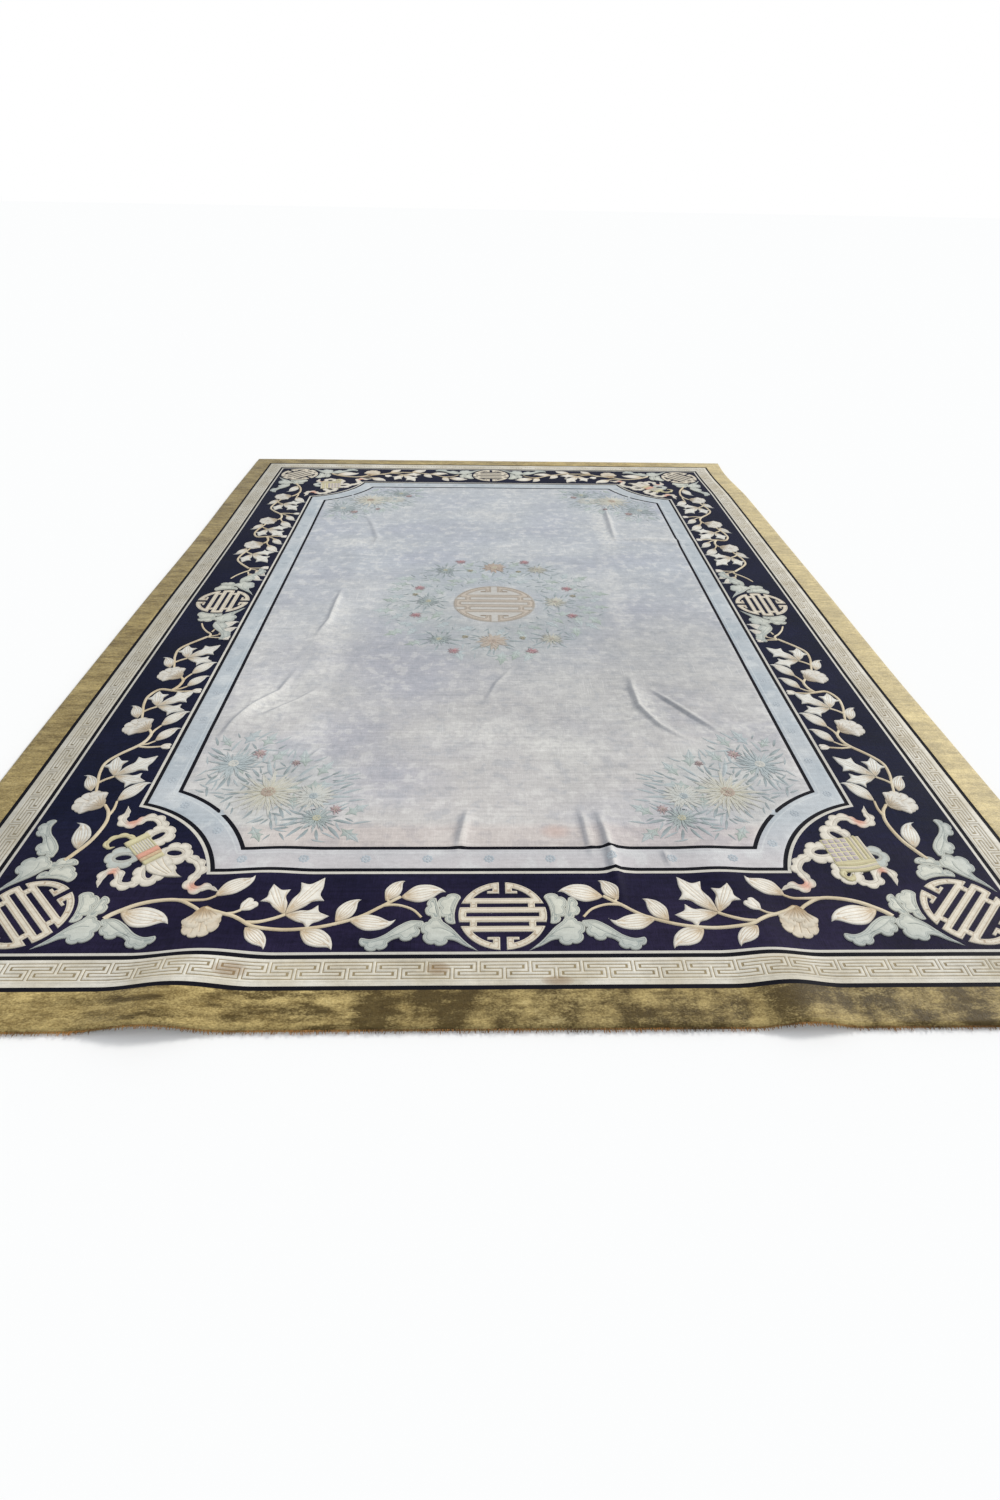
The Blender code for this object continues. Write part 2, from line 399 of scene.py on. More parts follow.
def is_inside(points, loops):
    """Whether each point lies inside the outlines, holes left out."""
    starts = np.vstack(loops)
    ends = np.vstack([np.roll(loop, -1, axis=0) for loop in loops])
    level = np.where(np.abs(ends[:, 1] - starts[:, 1]) < 1e-12, 1e-12, ends[:, 1] - starts[:, 1])
    slope = (ends[:, 0] - starts[:, 0]) / level
    kept = []
    for batch in np.array_split(points, 1 + len(points) // BATCH):
        x, y = batch[:, :1], batch[:, 1:]
        crosses = (starts[:, 1] > y) != (ends[:, 1] > y)
        to_the_left = x < starts[:, 0] + (y - starts[:, 1]) * slope
        kept.append((crosses & to_the_left).sum(1) % 2 == 1)
    return np.concatenate(kept)


def rings_of(loops):
    """Each loop's point numbers, where the loops are stacked."""
    starts = np.cumsum([0] + [len(loop) for loop in loops])
    return [list(range(a, b)) for a, b in zip(starts, starts[1:])]


def signed_area(corners):
    """Twice the area of flat triangles, less than 0 where they run clockwise."""
    along, across = corners[:, 1] - corners[:, 0], corners[:, 2] - corners[:, 0]
    return along[:, 0] * across[:, 1] - along[:, 1] * across[:, 0]


def triangulate(points, rings, keep):
    """Triangles over the points that follow the rings, those for whose middle keep is true."""
    edges = [pair for ring in rings for pair in zip(ring, ring[1:] + ring[:1])]
    flat, _, triangles, *_ = delaunay_2d_cdt([Vector(p) for p in points], edges, [], 0, 1e-6)
    flat = np.array([tuple(p) for p in flat])
    triangles = np.array([list(t) for t in triangles])
    corners = flat[triangles]
    area = signed_area(corners)
    triangles[area < 0] = triangles[area < 0][:, ::-1]
    return flat, triangles[keep(corners.mean(1)) & (np.abs(area) > 1e-10)]


class Carving:
    """A raised patch of pile: flat points, faces, rise above the ground, and what its finish reads."""

    def __init__(self, flat, faces, rise, edge, vein, dye):
        self.flat = flat
        self.faces = faces
        self.rise = rise
        self.edge = edge
        self.vein = vein
        self.dye = dye

    def placed(self, at=(0.0, 0.0), turn=0.0, size=1.0, flip=False, lift=0.0, dye=None):
        """A copy, flipped across its own X axis, scaled, turned in degrees and moved."""
        flat = self.flat * (size, -size if flip else size)
        cos, sin = direction(turn)
        flat = flat @ np.array(((cos, sin), (-sin, cos))) + at
        faces = [face[::-1] for face in self.faces] if flip else self.faces
        rise = np.where(self.rise > SUNK, self.rise + lift, self.rise)
        colours = self.dye if dye is None else np.tile(dye, (len(flat), 1))
        return Carving(flat, faces, rise, self.edge * size, self.vein * size, colours)

    def narrowed(self, share):
        """A copy drawn together across its own X axis."""
        return Carving(self.flat * (1.0, share), self.faces, self.rise, self.edge, self.vein, self.dye)

    def mirrored(self, side_x, side_y):
        """A copy in another quarter of the rug."""
        faces = [face[::-1] for face in self.faces] if side_x * side_y < 0 else self.faces
        flat = self.flat * (side_x, side_y)
        return Carving(flat, faces, self.rise, self.edge, self.vein, self.dye)


def beside(line, offset):
    """The line's points moved sideways to its left."""
    way = np.gradient(line, axis=0)
    way /= np.maximum(np.linalg.norm(way, axis=1), 1e-9)[:, None]
    return line + offset * np.column_stack((-way[:, 1], way[:, 0]))


def grid_over(points, step):
    """Staggered rows of points over the box that holds the points."""
    low, high = points.min(0), points.max(0)
    rows = np.arange(low[1], high[1] + step, step * 0.87)
    columns = np.arange(low[0] - step, high[0] + step, step)
    shift = np.tile((0.0, 0.5 * step), len(rows))[: len(rows)]
    x = columns[None, :] + shift[:, None]
    y = np.broadcast_to(rows[:, None], x.shape)
    return np.column_stack((x.ravel(), y.ravel()))


def patch_points(loops, rims, grooves, rows, step):
    """Points inside a patch: rows beside its rims and grooves, and a grid between them."""

    def from_groove(points):
        return distance_to(points, grooves) if grooves else np.full(len(points), 1.0)

    beside_rims = []
    for offset in rows:
        for rim in rims:
            both = np.vstack((beside(rim, offset), beside(rim, -offset)))
            beside_rims.append(both[distance_to(both, rims) > 0.93 * offset])
    beside_rims = np.vstack(beside_rims)
    points = [beside_rims[from_groove(beside_rims) > 0.0012]]
    for groove in grooves:
        both = np.vstack((beside(groove, VEIN_HALF_WIDTH), beside(groove, -VEIN_HALF_WIDTH)))
        points += [groove, both[from_groove(both) > 0.9 * VEIN_HALF_WIDTH]]
    grid = grid_over(np.vstack(loops), step)
    clear = distance_to(grid, rims) > max(rows) + 0.35 * step
    points.append(grid[clear & (from_groove(grid) > VEIN_HALF_WIDTH + 0.3 * step)])
    points = np.vstack(points)
    return points[is_inside(points, loops) & (distance_to(points, rims) > 0.0009)]


def underside(flat, faces, loops):
    """A patch's rim points, and the faces of its walls and plain bottom, down in the ground."""
    ways = np.vstack((faces[:, (0, 1)], faces[:, (1, 2)], faces[:, (2, 0)]))
    codes, backwards = ways @ (len(flat), 1), ways @ (1, len(flat))
    rim_ways = ways[~np.isin(codes, backwards)]
    rim_points = np.unique(rim_ways)
    below = np.full(len(flat), -1)
    below[rim_points] = np.arange(len(rim_points))
    edges = [(below[a], below[b]) for a, b in rim_ways]
    start = len(flat)
    walls = [(a, low_a + start, low_b + start, b) for (a, b), (low_a, low_b) in zip(rim_ways, edges)]
    edges = [(int(a), int(b)) for a, b in edges]
    _, _, bottom, *_ = delaunay_2d_cdt([Vector(flat[i]) for i in rim_points], edges, [], 0, 1e-9)
    bottom = np.array([list(t) for t in bottom])
    corners = flat[rim_points][bottom]
    upward = signed_area(corners) > 0
    bottom[upward] = bottom[upward][:, ::-1]
    bottom = bottom[is_inside(corners.mean(1), loops)] + start
    return rim_points, [*walls, *bottom.tolist()]


def carve(loops, veins=(), relief=RELIEF, rows=RIM_ROWS, step=INNER_STEP, dye=(1, 1, 1), contours=()):
    """A closed patch with a rounded rim and grooves along its veins. dye is a colour, or a function
    of the flat points. Grooves also follow the rim at the distances in contours."""
    rims = [np.vstack((loop, loop[:1])) for loop in loops]
    grooves = [np.asarray(vein, float) for vein in veins]
    free = patch_points(loops, rims, grooves, rows + contours, step)
    flat, faces = triangulate(
        np.vstack((*loops, free)), rings_of(loops), lambda middles: is_inside(middles, loops)
    )
    edge = distance_to(flat, rims)
    vein = distance_to(flat, grooves) if grooves else np.full(len(flat), 1.0)
    hollow = 1.0 - np.minimum(edge / ROUNDING, 1.0)
    rise = relief * np.sqrt(1.0 - hollow**2)
    rise -= VEIN_DEPTH * np.clip(1.0 - vein / VEIN_HALF_WIDTH, 0.0, 1.0) * np.minimum(edge / ROUNDING, 1.0)
    for contour in contours:
        rise -= CONTOUR_DEPTH * np.clip(1.0 - np.abs(edge - contour) / CONTOUR_HALF_WIDTH, 0.0, 1.0)

    rim_points, low_faces = underside(flat, faces, loops)
    every = np.vstack((flat, flat[rim_points]))
    return Carving(
        every,
        [tuple(map(int, face)) for face in (*faces.tolist(), *low_faces)],
        np.concatenate((rise, np.full(len(rim_points), SUNK))),
        np.concatenate((edge, np.zeros(len(rim_points)))),
        np.concatenate((vein, vein[rim_points])),
        dye(every) if callable(dye) else np.tile(dye, (len(every), 1)),
    )


def all_quarters(carvings):
    """The near left quarter's carvings and their mirror images."""
    return [c.mirrored(*signs) for c in carvings for signs in QUARTERS]


def joined(parts):
    """One array of points and one list of faces, from parts with their own."""
    faces, start = [], 0
    for points, part_faces in parts:
        faces += [tuple(i + start for i in face) for face in part_faces]
        start += len(points)
    return np.vstack([points for points, _ in parts]), faces


rug_pieces = bpy.data.collections.new("silk_rug")
bpy.context.scene.collection.children.link(rug_pieces)


def add_mesh(name, verts, faces, materials, attributes=None, material_of_face=None, smooth_shaded=True):
    """A finished piece of the rug, in its place."""
    mesh = bpy.data.meshes.new(name)
    mesh.from_pydata([tuple(v) for v in verts], [], faces)
    for key, values in (attributes or {}).items():
        values = np.asarray(values, np.float32)
        if values.ndim == 2:
            values = np.column_stack((values, np.ones(len(values), np.float32)))
            layer = mesh.attributes.new(key, "FLOAT_COLOR", "POINT")
            layer.data.foreach_set("color", values.ravel())
        else:
            mesh.attributes.new(key, "FLOAT", "POINT").data.foreach_set("value", values)
    for material in materials:
        mesh.materials.append(material)
    if material_of_face is not None:
        mesh.polygons.foreach_set("material_index", np.asarray(material_of_face, np.int32))
    if smooth_shaded:
        mesh.shade_smooth()
    mesh.update()
    piece = bpy.data.objects.new(name, mesh)
    rug_pieces.objects.link(piece)
    return piece


def finish_piece(piece):
    """The piece, which rides with the rug and stands for its solid."""
    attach(piece, "root")
    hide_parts("rug")
    return piece


def build(name, carvings, material):
    """Joins carvings into one piece laid on the rug."""
    flat, faces = joined([(c.flat, c.faces) for c in carvings])
    attributes = {
        "edge": np.concatenate([c.edge for c in carvings]),
        "vein": np.concatenate([c.vein for c in carvings]),
        "dye": np.vstack([c.dye for c in carvings]),
    }
    verts = lay(flat, np.concatenate([c.rise for c in carvings]))
    piece = add_mesh(name, verts, faces, [material], attributes)
    piece.data.set_sharp_from_angle(angle=math.radians(60))
    return finish_piece(piece)


# Materials


def linear(hex_colour):
    """A colour as written for screens, in the renderer's own light units."""
    values = [int(hex_colour[i : i + 2], 16) / 255.0 for i in (1, 3, 5)]
    return tuple(v / 12.92 if v < 0.04045 else ((v + 0.055) / 1.055) ** 2.4 for v in values)


class Number:
    """A node's number, for arithmetic in plain expressions."""

    def __init__(self, graph, socket):
        self.graph = graph
        self.socket = socket

    def of(self, operation, *others):
        values = {i: value for i, value in enumerate((self, *others))}
        return self.graph.number("ShaderNodeMath", {"operation": operation}, values)

    def __add__(self, other):
        return self.of("ADD", other)

    def __sub__(self, other):
        return self.of("SUBTRACT", other)

    def __rsub__(self, other):
        return self.graph.number("ShaderNodeMath", {"operation": "SUBTRACT"}, {0: other, 1: self})

    def __mul__(self, other):
        return self.of("MULTIPLY", other)

    __radd__ = __add__
    __rmul__ = __mul__

    def __truediv__(self, other):
        return self.of("DIVIDE", other)

    def clamped(self):
        """The number held between 0 and 1."""
        return self.of("MAXIMUM", 0.0).of("MINIMUM", 1.0)

    def ramp(self, low, high):
        """0 at low and 1 at high, straight between them."""
        return ((self - low) / (high - low)).clamped()


class Graph:
    """A node tree under construction."""

    def __init__(self, tree):
        self.tree = tree

    def node(self, kind, settings=None, inputs=None):
        made = self.tree.nodes.new(kind)
        for key, value in (settings or {}).items():
            setattr(made, key, value)
        for key, value in (inputs or {}).items():
            self.feed(made.inputs[key], value)
        return made

    def feed(self, socket, value):
        if isinstance(value, Number):
            value = value.socket
        if isinstance(value, bpy.types.Node):
            value = value.outputs[0]
        if isinstance(value, bpy.types.NodeSocket):
            self.tree.links.new(value, socket)
        else:
            socket.default_value = value

    def number(self, kind, settings=None, inputs=None, output=0):
        return Number(self, self.node(kind, settings, inputs).outputs[output])


# How much darker the pile is painted at the left side: painted shade, where its nap leans away from the
# light
LEFT_PAINTED_SHADE = 0.20


class Finish(Graph):
    """A material of knotted silk."""

    def __init__(self, name):
        self.material = bpy.data.materials.new(name)
        self.material.use_nodes = True
        super().__init__(self.material.node_tree)
        self.shader = self.tree.nodes["Principled BSDF"]
        self.place = self.node("ShaderNodeTexCoord").outputs["Object"]

    def noise(self, scale, detail=2.0, stretch=(1.0, 1.0, 1.0), at=(0.0, 0.0, 0.0)):
        """Cloudy variation from 0 to 1, stretch giving its size along each axis."""
        inputs = {"Vector": self.place, "Location": at, "Scale": tuple(1.0 / s for s in stretch)}
        mapped = self.node("ShaderNodeMapping", None, inputs)
        return self.number("ShaderNodeTexNoise", None, {"Vector": mapped, "Scale": scale, "Detail": detail})

    def axis(self, index):
        """One coordinate of the rug: 0 across, 1 along."""
        parts = self.node("ShaderNodeSeparateXYZ", None, {0: self.place})
        return Number(self, parts.outputs[index])

    def attribute(self, name):
        return self.number("ShaderNodeAttribute", {"attribute_name": name}, None, "Fac")

    def colour_attribute(self, name):
        return self.node("ShaderNodeAttribute", {"attribute_name": name}).outputs["Color"]

    def mix(self, share, first, second):
        """The second colour over the first. A colour may be written as for screens."""
        first, second = (linear(c) + (1.0,) if isinstance(c, str) else c for c in (first, second))
        mixed = self.node("ShaderNodeMix", {"data_type": "RGBA"}, {0: share, 6: first, 7: second})
        return mixed.outputs[2]

    def spot(self, x, y, radius_x, radius_y):
        """1 at a place on the rug, fading to 0 at the radius."""
        across, along = (self.axis(0) - x) / radius_x, (self.axis(1) - y) / radius_y
        return (1.0 - (across * across + along * along)).clamped()

    def shaded(self, colour, factor):
        """The colour made lighter or darker."""
        scaled = self.node("ShaderNodeVectorMath", {"operation": "SCALE"}, {0: colour, "Scale": factor})
        return scaled.outputs[0]

    def pile(self, colour, streak=0.14, blotch=0.12, grain=0.28, warp=0.06, rough=0.50, bump=0.35,
             sheen=0.10, gloss=0.20):
        """Finishes the material: weft streaks, blotches, warp rows and knots in its colour and bump."""
        streaks = self.noise(1.0, 3.0, (0.26, 0.010, 1.0)) - 0.5
        blotches = self.noise(4.5, 4.0, (1.3, 1.0, 1.0), (3.0, 1.0, 0.0)) - 0.5
        columns = self.noise(1.0, 2.0, (0.0028, 0.045, 1.0)) - 0.5
        knots = self.noise(420.0, 1.0) - 0.5
        tuft = self.noise(95.0, 2.0, (1.6, 1.0, 1.0)) - 0.5
        light = 1.0 + streaks * (2 * streak) + blotches * (2 * blotch) + columns * (2 * warp)
        light = light + (knots + tuft) * grain
        # Painted shade towards the rug's left side
        left_shade = 1.0 - self.axis(0).ramp(-1.02, -1.45) * LEFT_PAINTED_SHADE
        self.feed(self.shader.inputs["Base Color"], self.shaded(colour, light * left_shade))
        self.feed(self.shader.inputs["Roughness"], (rough + blotches * 0.25 + streaks * 0.20).clamped())
        height = knots + tuft * 1.6 + streaks * 0.8 + columns * 0.6
        bumped = self.node("ShaderNodeBump", None, {"Strength": bump, "Distance": 0.0012, "Height": height})
        self.feed(self.shader.inputs["Normal"], bumped)
        self.shader.inputs["Sheen Weight"].default_value = sheen
        self.shader.inputs["Sheen Roughness"].default_value = 0.40
        self.shader.inputs["Sheen Tint"].default_value = (1.0, 0.98, 0.94, 1.0)
        self.shader.inputs["Specular IOR Level"].default_value = gloss
        return self.material


def crest_wear_and_painted_light(f, colour):
    """The colour, lighter on crease crests as wear and a painted highlight, with painted shade on their far
    sides.
    """
    # Painted highlight on crease crests, partly wear
    lit = f.mix((f.attribute("crest") * 0.50).clamped(), colour, "#e2e0da")
    # Painted shade on the sides of creases that face away from the light
    return f.mix(f.attribute("shade") * 0.50, lit, "#6f7684")


# Places of the field painted lighter as sheen highlights, most of them on its creases: x, y, radius across,
# radius along, strength
SHEEN_PLACES = (
    (0.60, 0.95, 0.070, 0.55, 0.55),
    (0.54, 0.10, 0.060, 0.60, 0.30),
    (0.84, 0.74, 0.260, 0.050, 0.55),
    (0.50, -0.88, 0.110, 0.200, 0.60),
    (0.78, -0.985, 0.260, 0.035, 0.45),
    (-0.80, -0.82, 0.130, 0.170, 0.65),
    (-0.66, -0.40, 0.100, 0.500, 0.35),
    (-0.62, -1.02, 0.080, 0.140, 0.40),
    (-0.70, 0.66, 0.200, 0.080, 0.45),
    (0.00, -1.02, 0.330, 0.110, 0.45),
    (0.24, -1.10, 0.200, 0.080, 0.40),
)


def field_silk():
    """The field: cool grey far off, partly painted sky sheen, warmer and pinker near, with the haze round
    the blossoms.
    """
    f = Finish("field_silk")
    along, across = f.axis(1), f.axis(0)
    warm = f.noise(3.0, 3.0, (1.6, 1.0, 1.0), (7.0, 2.0, 0.0))
    # The cool grey far off is partly its own tone and partly a painted sheen of the sky
    far_sheen_fade = ((warm - 0.5) * 0.6 - (along + 0.2) / 1.6).ramp(-0.4, 1.1)
    colour = f.mix(far_sheen_fade, "#b3b7bc", "#cbc5c0")
    patch = f.noise(2.2, 4.0, (1.3, 1.0, 1.0), (1.0, 4.0, 0.0))
    colour = f.mix(patch.ramp(0.50, 0.68) * 0.35, colour, "#d6d4cd")
    colour = f.mix(patch.ramp(0.50, 0.34) * 0.40, colour, "#9c9fb0")
    marble = f.noise(36.0, 10.0, (1.4, 1.3, 1.0), (2.0, 9.0, 0.0))
    colour = f.mix(marble.ramp(0.54, 0.61) * 0.34, colour, "#dfddd8")
    colour = f.mix(marble.ramp(0.46, 0.38) * 0.26, colour, "#949aa3")
    # Painted sheen highlights at the listed places, mottled
    painted_sheen = f.noise(60.0, 6.0, (1.2, 1.4, 1.0), (4.0, 4.0, 0.0)).ramp(0.40, 0.62)
    spots = 0.0
    for x, y, radius_x, radius_y, strength in SHEEN_PLACES:
        spots = f.spot(x, y, radius_x, radius_y) * strength + spots
    colour = f.mix((spots * (0.25 + painted_sheen)).clamped(), colour, "#e1dfd9")
    scratches = f.noise(1.0, 2.0, (0.005, 0.13, 1.0), (3.0, 3.0, 0.0))
    colour = f.mix(scratches.ramp(0.62, 0.70) * patch.ramp(0.45, 0.60) * 0.5, colour, "#e0dedb")
    ring = (across * across + (along + 0.02) * (along + 0.02)).of("SQRT")
    haze = ring.ramp(0.54, 0.40) * ring.ramp(0.16, 0.22)
    for side in (-1, 1):
        haze = haze + f.spot(side * 0.70, -1.32, 0.30, 0.28) + f.spot(side * 0.68, 1.30, 0.26, 0.24)
    haze = haze.clamped() * f.noise(12.0, 5.0) * 0.50
    colour = f.mix(haze, colour, "#a4b0b0")
    pink = (0.0 - along).ramp(1.46, 1.49) * 0.24 + f.spot(0.156, -1.50, 0.05, 0.035) * 0.5
    colour = f.mix(pink.clamped(), colour, "#c9b0a6")
    # Painted shade over the middle and the right of the field
    shade = f.spot(0.15, -0.60, 1.00, 0.85) * 0.13 + f.spot(0.75, -0.35, 0.50, 0.80) * 0.06
    colour = f.shaded(crest_wear_and_painted_light(f, colour), 1.0 - shade)
    return f.pile(colour, streak=0.18, blotch=0.13, grain=0.26, warp=0.12, rough=0.46)


def band_silk():
    """The pale blue band between the two black lines."""
    f = Finish("band_silk")
    cloud = f.noise(5.0, 4.0, (1.0, 1.0, 1.0), (2.0, 5.0, 0.0))
    colour = f.mix(cloud.ramp(0.35, 0.65), "#a8b1b7", "#babfc2")
    near = (0.0 - f.axis(1)).ramp(1.45, 1.62)
    colour = f.mix(near * 0.8, colour, "#c6c0c0")
    marble = f.noise(17.0, 7.0, (1.0, 1.2, 1.0), (2.0, 9.0, 0.0))
    colour = f.mix(marble.ramp(0.54, 0.64) * 0.35, colour, "#d8dad8")
    line = f.attribute("inset")
    thin = line.ramp(0.5440, 0.5455) * line.ramp(0.5500, 0.5485)
    colour = f.mix(thin * 0.28, colour, "#dcdfdc")
    return f.pile(crest_wear_and_painted_light(f, colour), streak=0.12, blotch=0.12, grain=0.26, rough=0.46)


def navy_silk():
    """The dark ground: deep blue at the sides, with purple and worn streaks near; the lighter purple near
    is partly a painted sheen.
    """
    f = Finish("navy_silk")
    # Lighter purple near: partly its dye, partly painted sheen
    near = (0.0 - f.axis(1)).ramp(1.45, 1.80)
    cloud = f.noise(5.0, 4.0, (1.5, 1.0, 1.0), (4.0, 1.0, 0.0))
    colour = f.mix(cloud.ramp(0.3, 0.7), "#0d1126", "#161931")
    purple_and_sheen = f.mix(cloud.ramp(0.35, 0.7), "#18152b", "#28223b")
    colour = f.mix(near, colour, purple_and_sheen)
    return f.pile(colour, streak=0.45, blotch=0.30, grain=0.7, warp=0.45, rough=0.60, sheen=0.0, gloss=0.06)


def guard_silk():
    f = Finish("guard_silk")
    return f.pile(linear("#14141c"), streak=0.15, blotch=0.2, grain=0.2, rough=0.6, sheen=0.0, gloss=0.06)


def cream_line_silk():
    f = Finish("cream_line_silk")
    return f.pile(linear("#c9c5ba"), blotch=0.16)


def fret_ground_silk():
    """The tan grooves of the fretwork."""
    f = Finish("fret_ground_silk")
    cloud = f.noise(7.0, 4.0)
    colour = f.mix(cloud.ramp(0.3, 0.7), "#85765a", "#a19272")
    return f.pile(stains_and_left_shade(f, colour), streak=0.14, blotch=0.14, rough=0.55)


# Old brown stains of the near fretwork: x, y, radius across, radius along
STAINS = (
    (-0.155, -1.978, 0.030, 0.020),
    (-0.639, -1.983, 0.042, 0.022),
    (0.124, -2.014, 0.040, 0.014),
)


def stains_and_left_shade(f, colour):
    """The colour with the fretwork's stains, and greyer along the left side as painted shade."""
    for place in STAINS:
        colour = f.mix(f.spot(*place).of("SQRT") * 0.55, colour, "#8a6a44")
    # Painted shade along the left side; the stains above are real
    left = f.axis(0).ramp(-1.28, -1.36) * 0.25
    return f.mix(left, colour, "#8f9088")


def fret_silk():
    """The fretwork's cream ridges."""
    f = Finish("fret_silk")
    cloud = f.noise(9.0, 4.0, at=(6.0, 1.0, 0.0))
    colour = f.mix(cloud.ramp(0.35, 0.65), "#c8c0ad", "#dcd7ca")
    return f.pile(stains_and_left_shade(f, colour), streak=0.12, blotch=0.14, grain=0.30)


def olive_silk():
    """The plain outer border: gold, partly painted tuft highlights, olive and brown where the pile lies
    down, partly painted shade.
    """
    f = Finish("olive_silk")
    across, along = f.axis(0), f.axis(1)
    near = (0.0 - along).ramp(1.90, 2.02)
    broad = f.noise(7.0, 5.0, (2.2, 0.8, 1.0), (5.0, 3.0, 0.0))
    fine = f.noise(46.0, 4.0, (2.6, 0.8, 1.0), (1.0, 8.0, 0.0))
    clumps = f.noise(260.0, 3.0, (1.5, 0.8, 1.0), (2.0, 2.0, 0.0))
    mixed = broad * 0.30 + fine * 0.35 + clumps * 0.35
    colour = f.mix(mixed.ramp(0.41, 0.59), "#79663a", "#c0aa70")
    # Flat streaks left of the middle, and folds across the strip to its right
    streaks = f.noise(1.0, 6.0, (0.16, 0.034, 1.0), (3.0, 1.0, 0.0))
    folds = f.noise(1.0, 6.0, (0.085, 0.150, 1.0), (5.0, 2.0, 0.0))
    lain = streaks.ramp(0.45, 0.58) * across.ramp(-1.05, -0.80) * across.ramp(-0.05, -0.30)
    lain = lain + folds.ramp(0.39, 0.57) * across.ramp(-0.45, -0.25)
    # Dark where the pile lies down: partly its own tone, partly painted shade in its folds
    depth = near * (0.08 + lain * (0.55 + mixed.ramp(0.58, 0.42) * 0.75))
    colour = f.mix(depth.clamped() * 0.86, colour, "#3f300c")
    # Painted highlights on the lightest tufts
    colour = f.mix(mixed.ramp(0.58, 0.68) * 0.5, colour, "#d3c28e")
    # Painted sheen, lighter towards the right side
    painted_sheen = across.ramp(0.9, 1.45) * (1.0 - near)
    colour = f.mix(painted_sheen * 0.35, colour, "#d6caa6")
    # Painted light: lighter towards the right side and darker at the far left
    sides = 0.94 + across.ramp(-1.2, 1.2) * 0.30 - along.ramp(0.6, 1.6) * across.ramp(0.0, -1.2) * 0.15
    near_strip = 1.10 - across.ramp(-0.45, -0.10) * 0.14
    tone = sides * (1.0 - near) + near_strip * near
    return f.pile(f.shaded(colour, tone), streak=0.18, blotch=0.14, grain=0.55, rough=0.50, bump=0.7)


def foundation_cotton():
    """The underside: rows of knots on a cotton foundation."""
    f = Finish("foundation_cotton")
    rows = f.noise(1.0, 2.0, (0.02, 0.0016, 1.0))
    cloud = f.noise(3.0, 3.0)
    colour = f.mix(rows.ramp(0.35, 0.65), "#8d8b88", "#c9c3b4")
    colour = f.mix(cloud.ramp(0.4, 0.6) * 0.4, colour, "#a9a08f")
    return f.pile(colour, streak=0.05, blotch=0.10, grain=0.2, rough=0.85, bump=0.5, sheen=0.05)


def plain_silk(name, light, dark, **pile):
    """Raised pile in one dye that varies softly between a light and a dark tone."""
    f = Finish(name)
    cloud = f.noise(9.0, 4.0, at=(6.0, 1.0, 0.0))
    colour = f.mix(cloud.ramp(0.35, 0.65), dark, light)
    return f.pile(colour, **pile)


def carved_silk(name, contours=(), line="#b39a78", line_share=0.5, vein_share=0.6, rim=0.66, **pile):
    """Carved pile in the dye of its motif, with darker lines along its veins and inside its rim, a darker
    rim that is partly painted shade, and a middle painted lighter.
    """
    f = Finish(name)
    edge, vein = f.attribute("edge"), f.attribute("vein")
    colour = f.colour_attribute("dye")
    for contour in contours:
        inner = edge.ramp(contour - 0.0013, contour) * edge.ramp(contour + 0.0016, contour + 0.0003)
        colour = f.mix(inner * line_share, colour, line)
    colour = f.mix(vein.ramp(0.0017, 0.0003) * vein_share, colour, line)
    # Painted shade at the rim, partly outline, and painted light towards the middle of the carving
    tone = rim + edge.ramp(0.0, 0.0020) * (0.94 - rim) + edge.ramp(0.003, 0.014) * 0.12
    return f.pile(f.shaded(colour, tone), **pile)


# What repeats or follows a line


class ShapeTree(Graph):
    """A Geometry Nodes tree with named inputs, that shapes a mesh."""

    def __init__(self, name, inputs):
        super().__init__(bpy.data.node_groups.new(name, "GeometryNodeTree"))
        sockets = self.tree.interface
        sockets.new_socket("Geometry", in_out="OUTPUT", socket_type="NodeSocketGeometry")
        sockets.new_socket("Geometry", in_out="INPUT", socket_type="NodeSocketGeometry")
        self.identifiers = {}
        for key, kind in (inputs | {"Material": "NodeSocketMaterial"}).items():
            made = sockets.new_socket(key, in_out="INPUT", socket_type=kind)
            self.identifiers[key] = made.identifier
        self.given = self.tree.nodes.new("NodeGroupInput").outputs

    def vector(self, x, y, z):
        return self.node("ShaderNodeCombineXYZ", None, {"X": x, "Y": y, "Z": z})

    def end_with(self, geometry):
        realized = self.node("GeometryNodeRealizeInstances", None, {"Geometry": geometry})
        inputs = {"Geometry": realized, "Material": self.given["Material"]}
        finished = self.node("GeometryNodeSetMaterial", None, inputs)
        self.feed(self.tree.nodes.new("NodeGroupOutput").inputs[0], finished)

    def grown_from(self, mesh, values):
        """The plain mesh that the tree makes of a mesh."""
        source = bpy.data.objects.new("source", mesh)
        rug_pieces.objects.link(source)
        modifier = source.modifiers.new("shape", "NODES")
        modifier.node_group = self.tree
        for key, value in values.items():
            modifier[self.identifiers[key]] = value
        evaluated = source.evaluated_get(bpy.context.evaluated_depsgraph_get())
        result = bpy.data.meshes.new_from_object(evaluated)
        bpy.data.objects.remove(source)
        return result


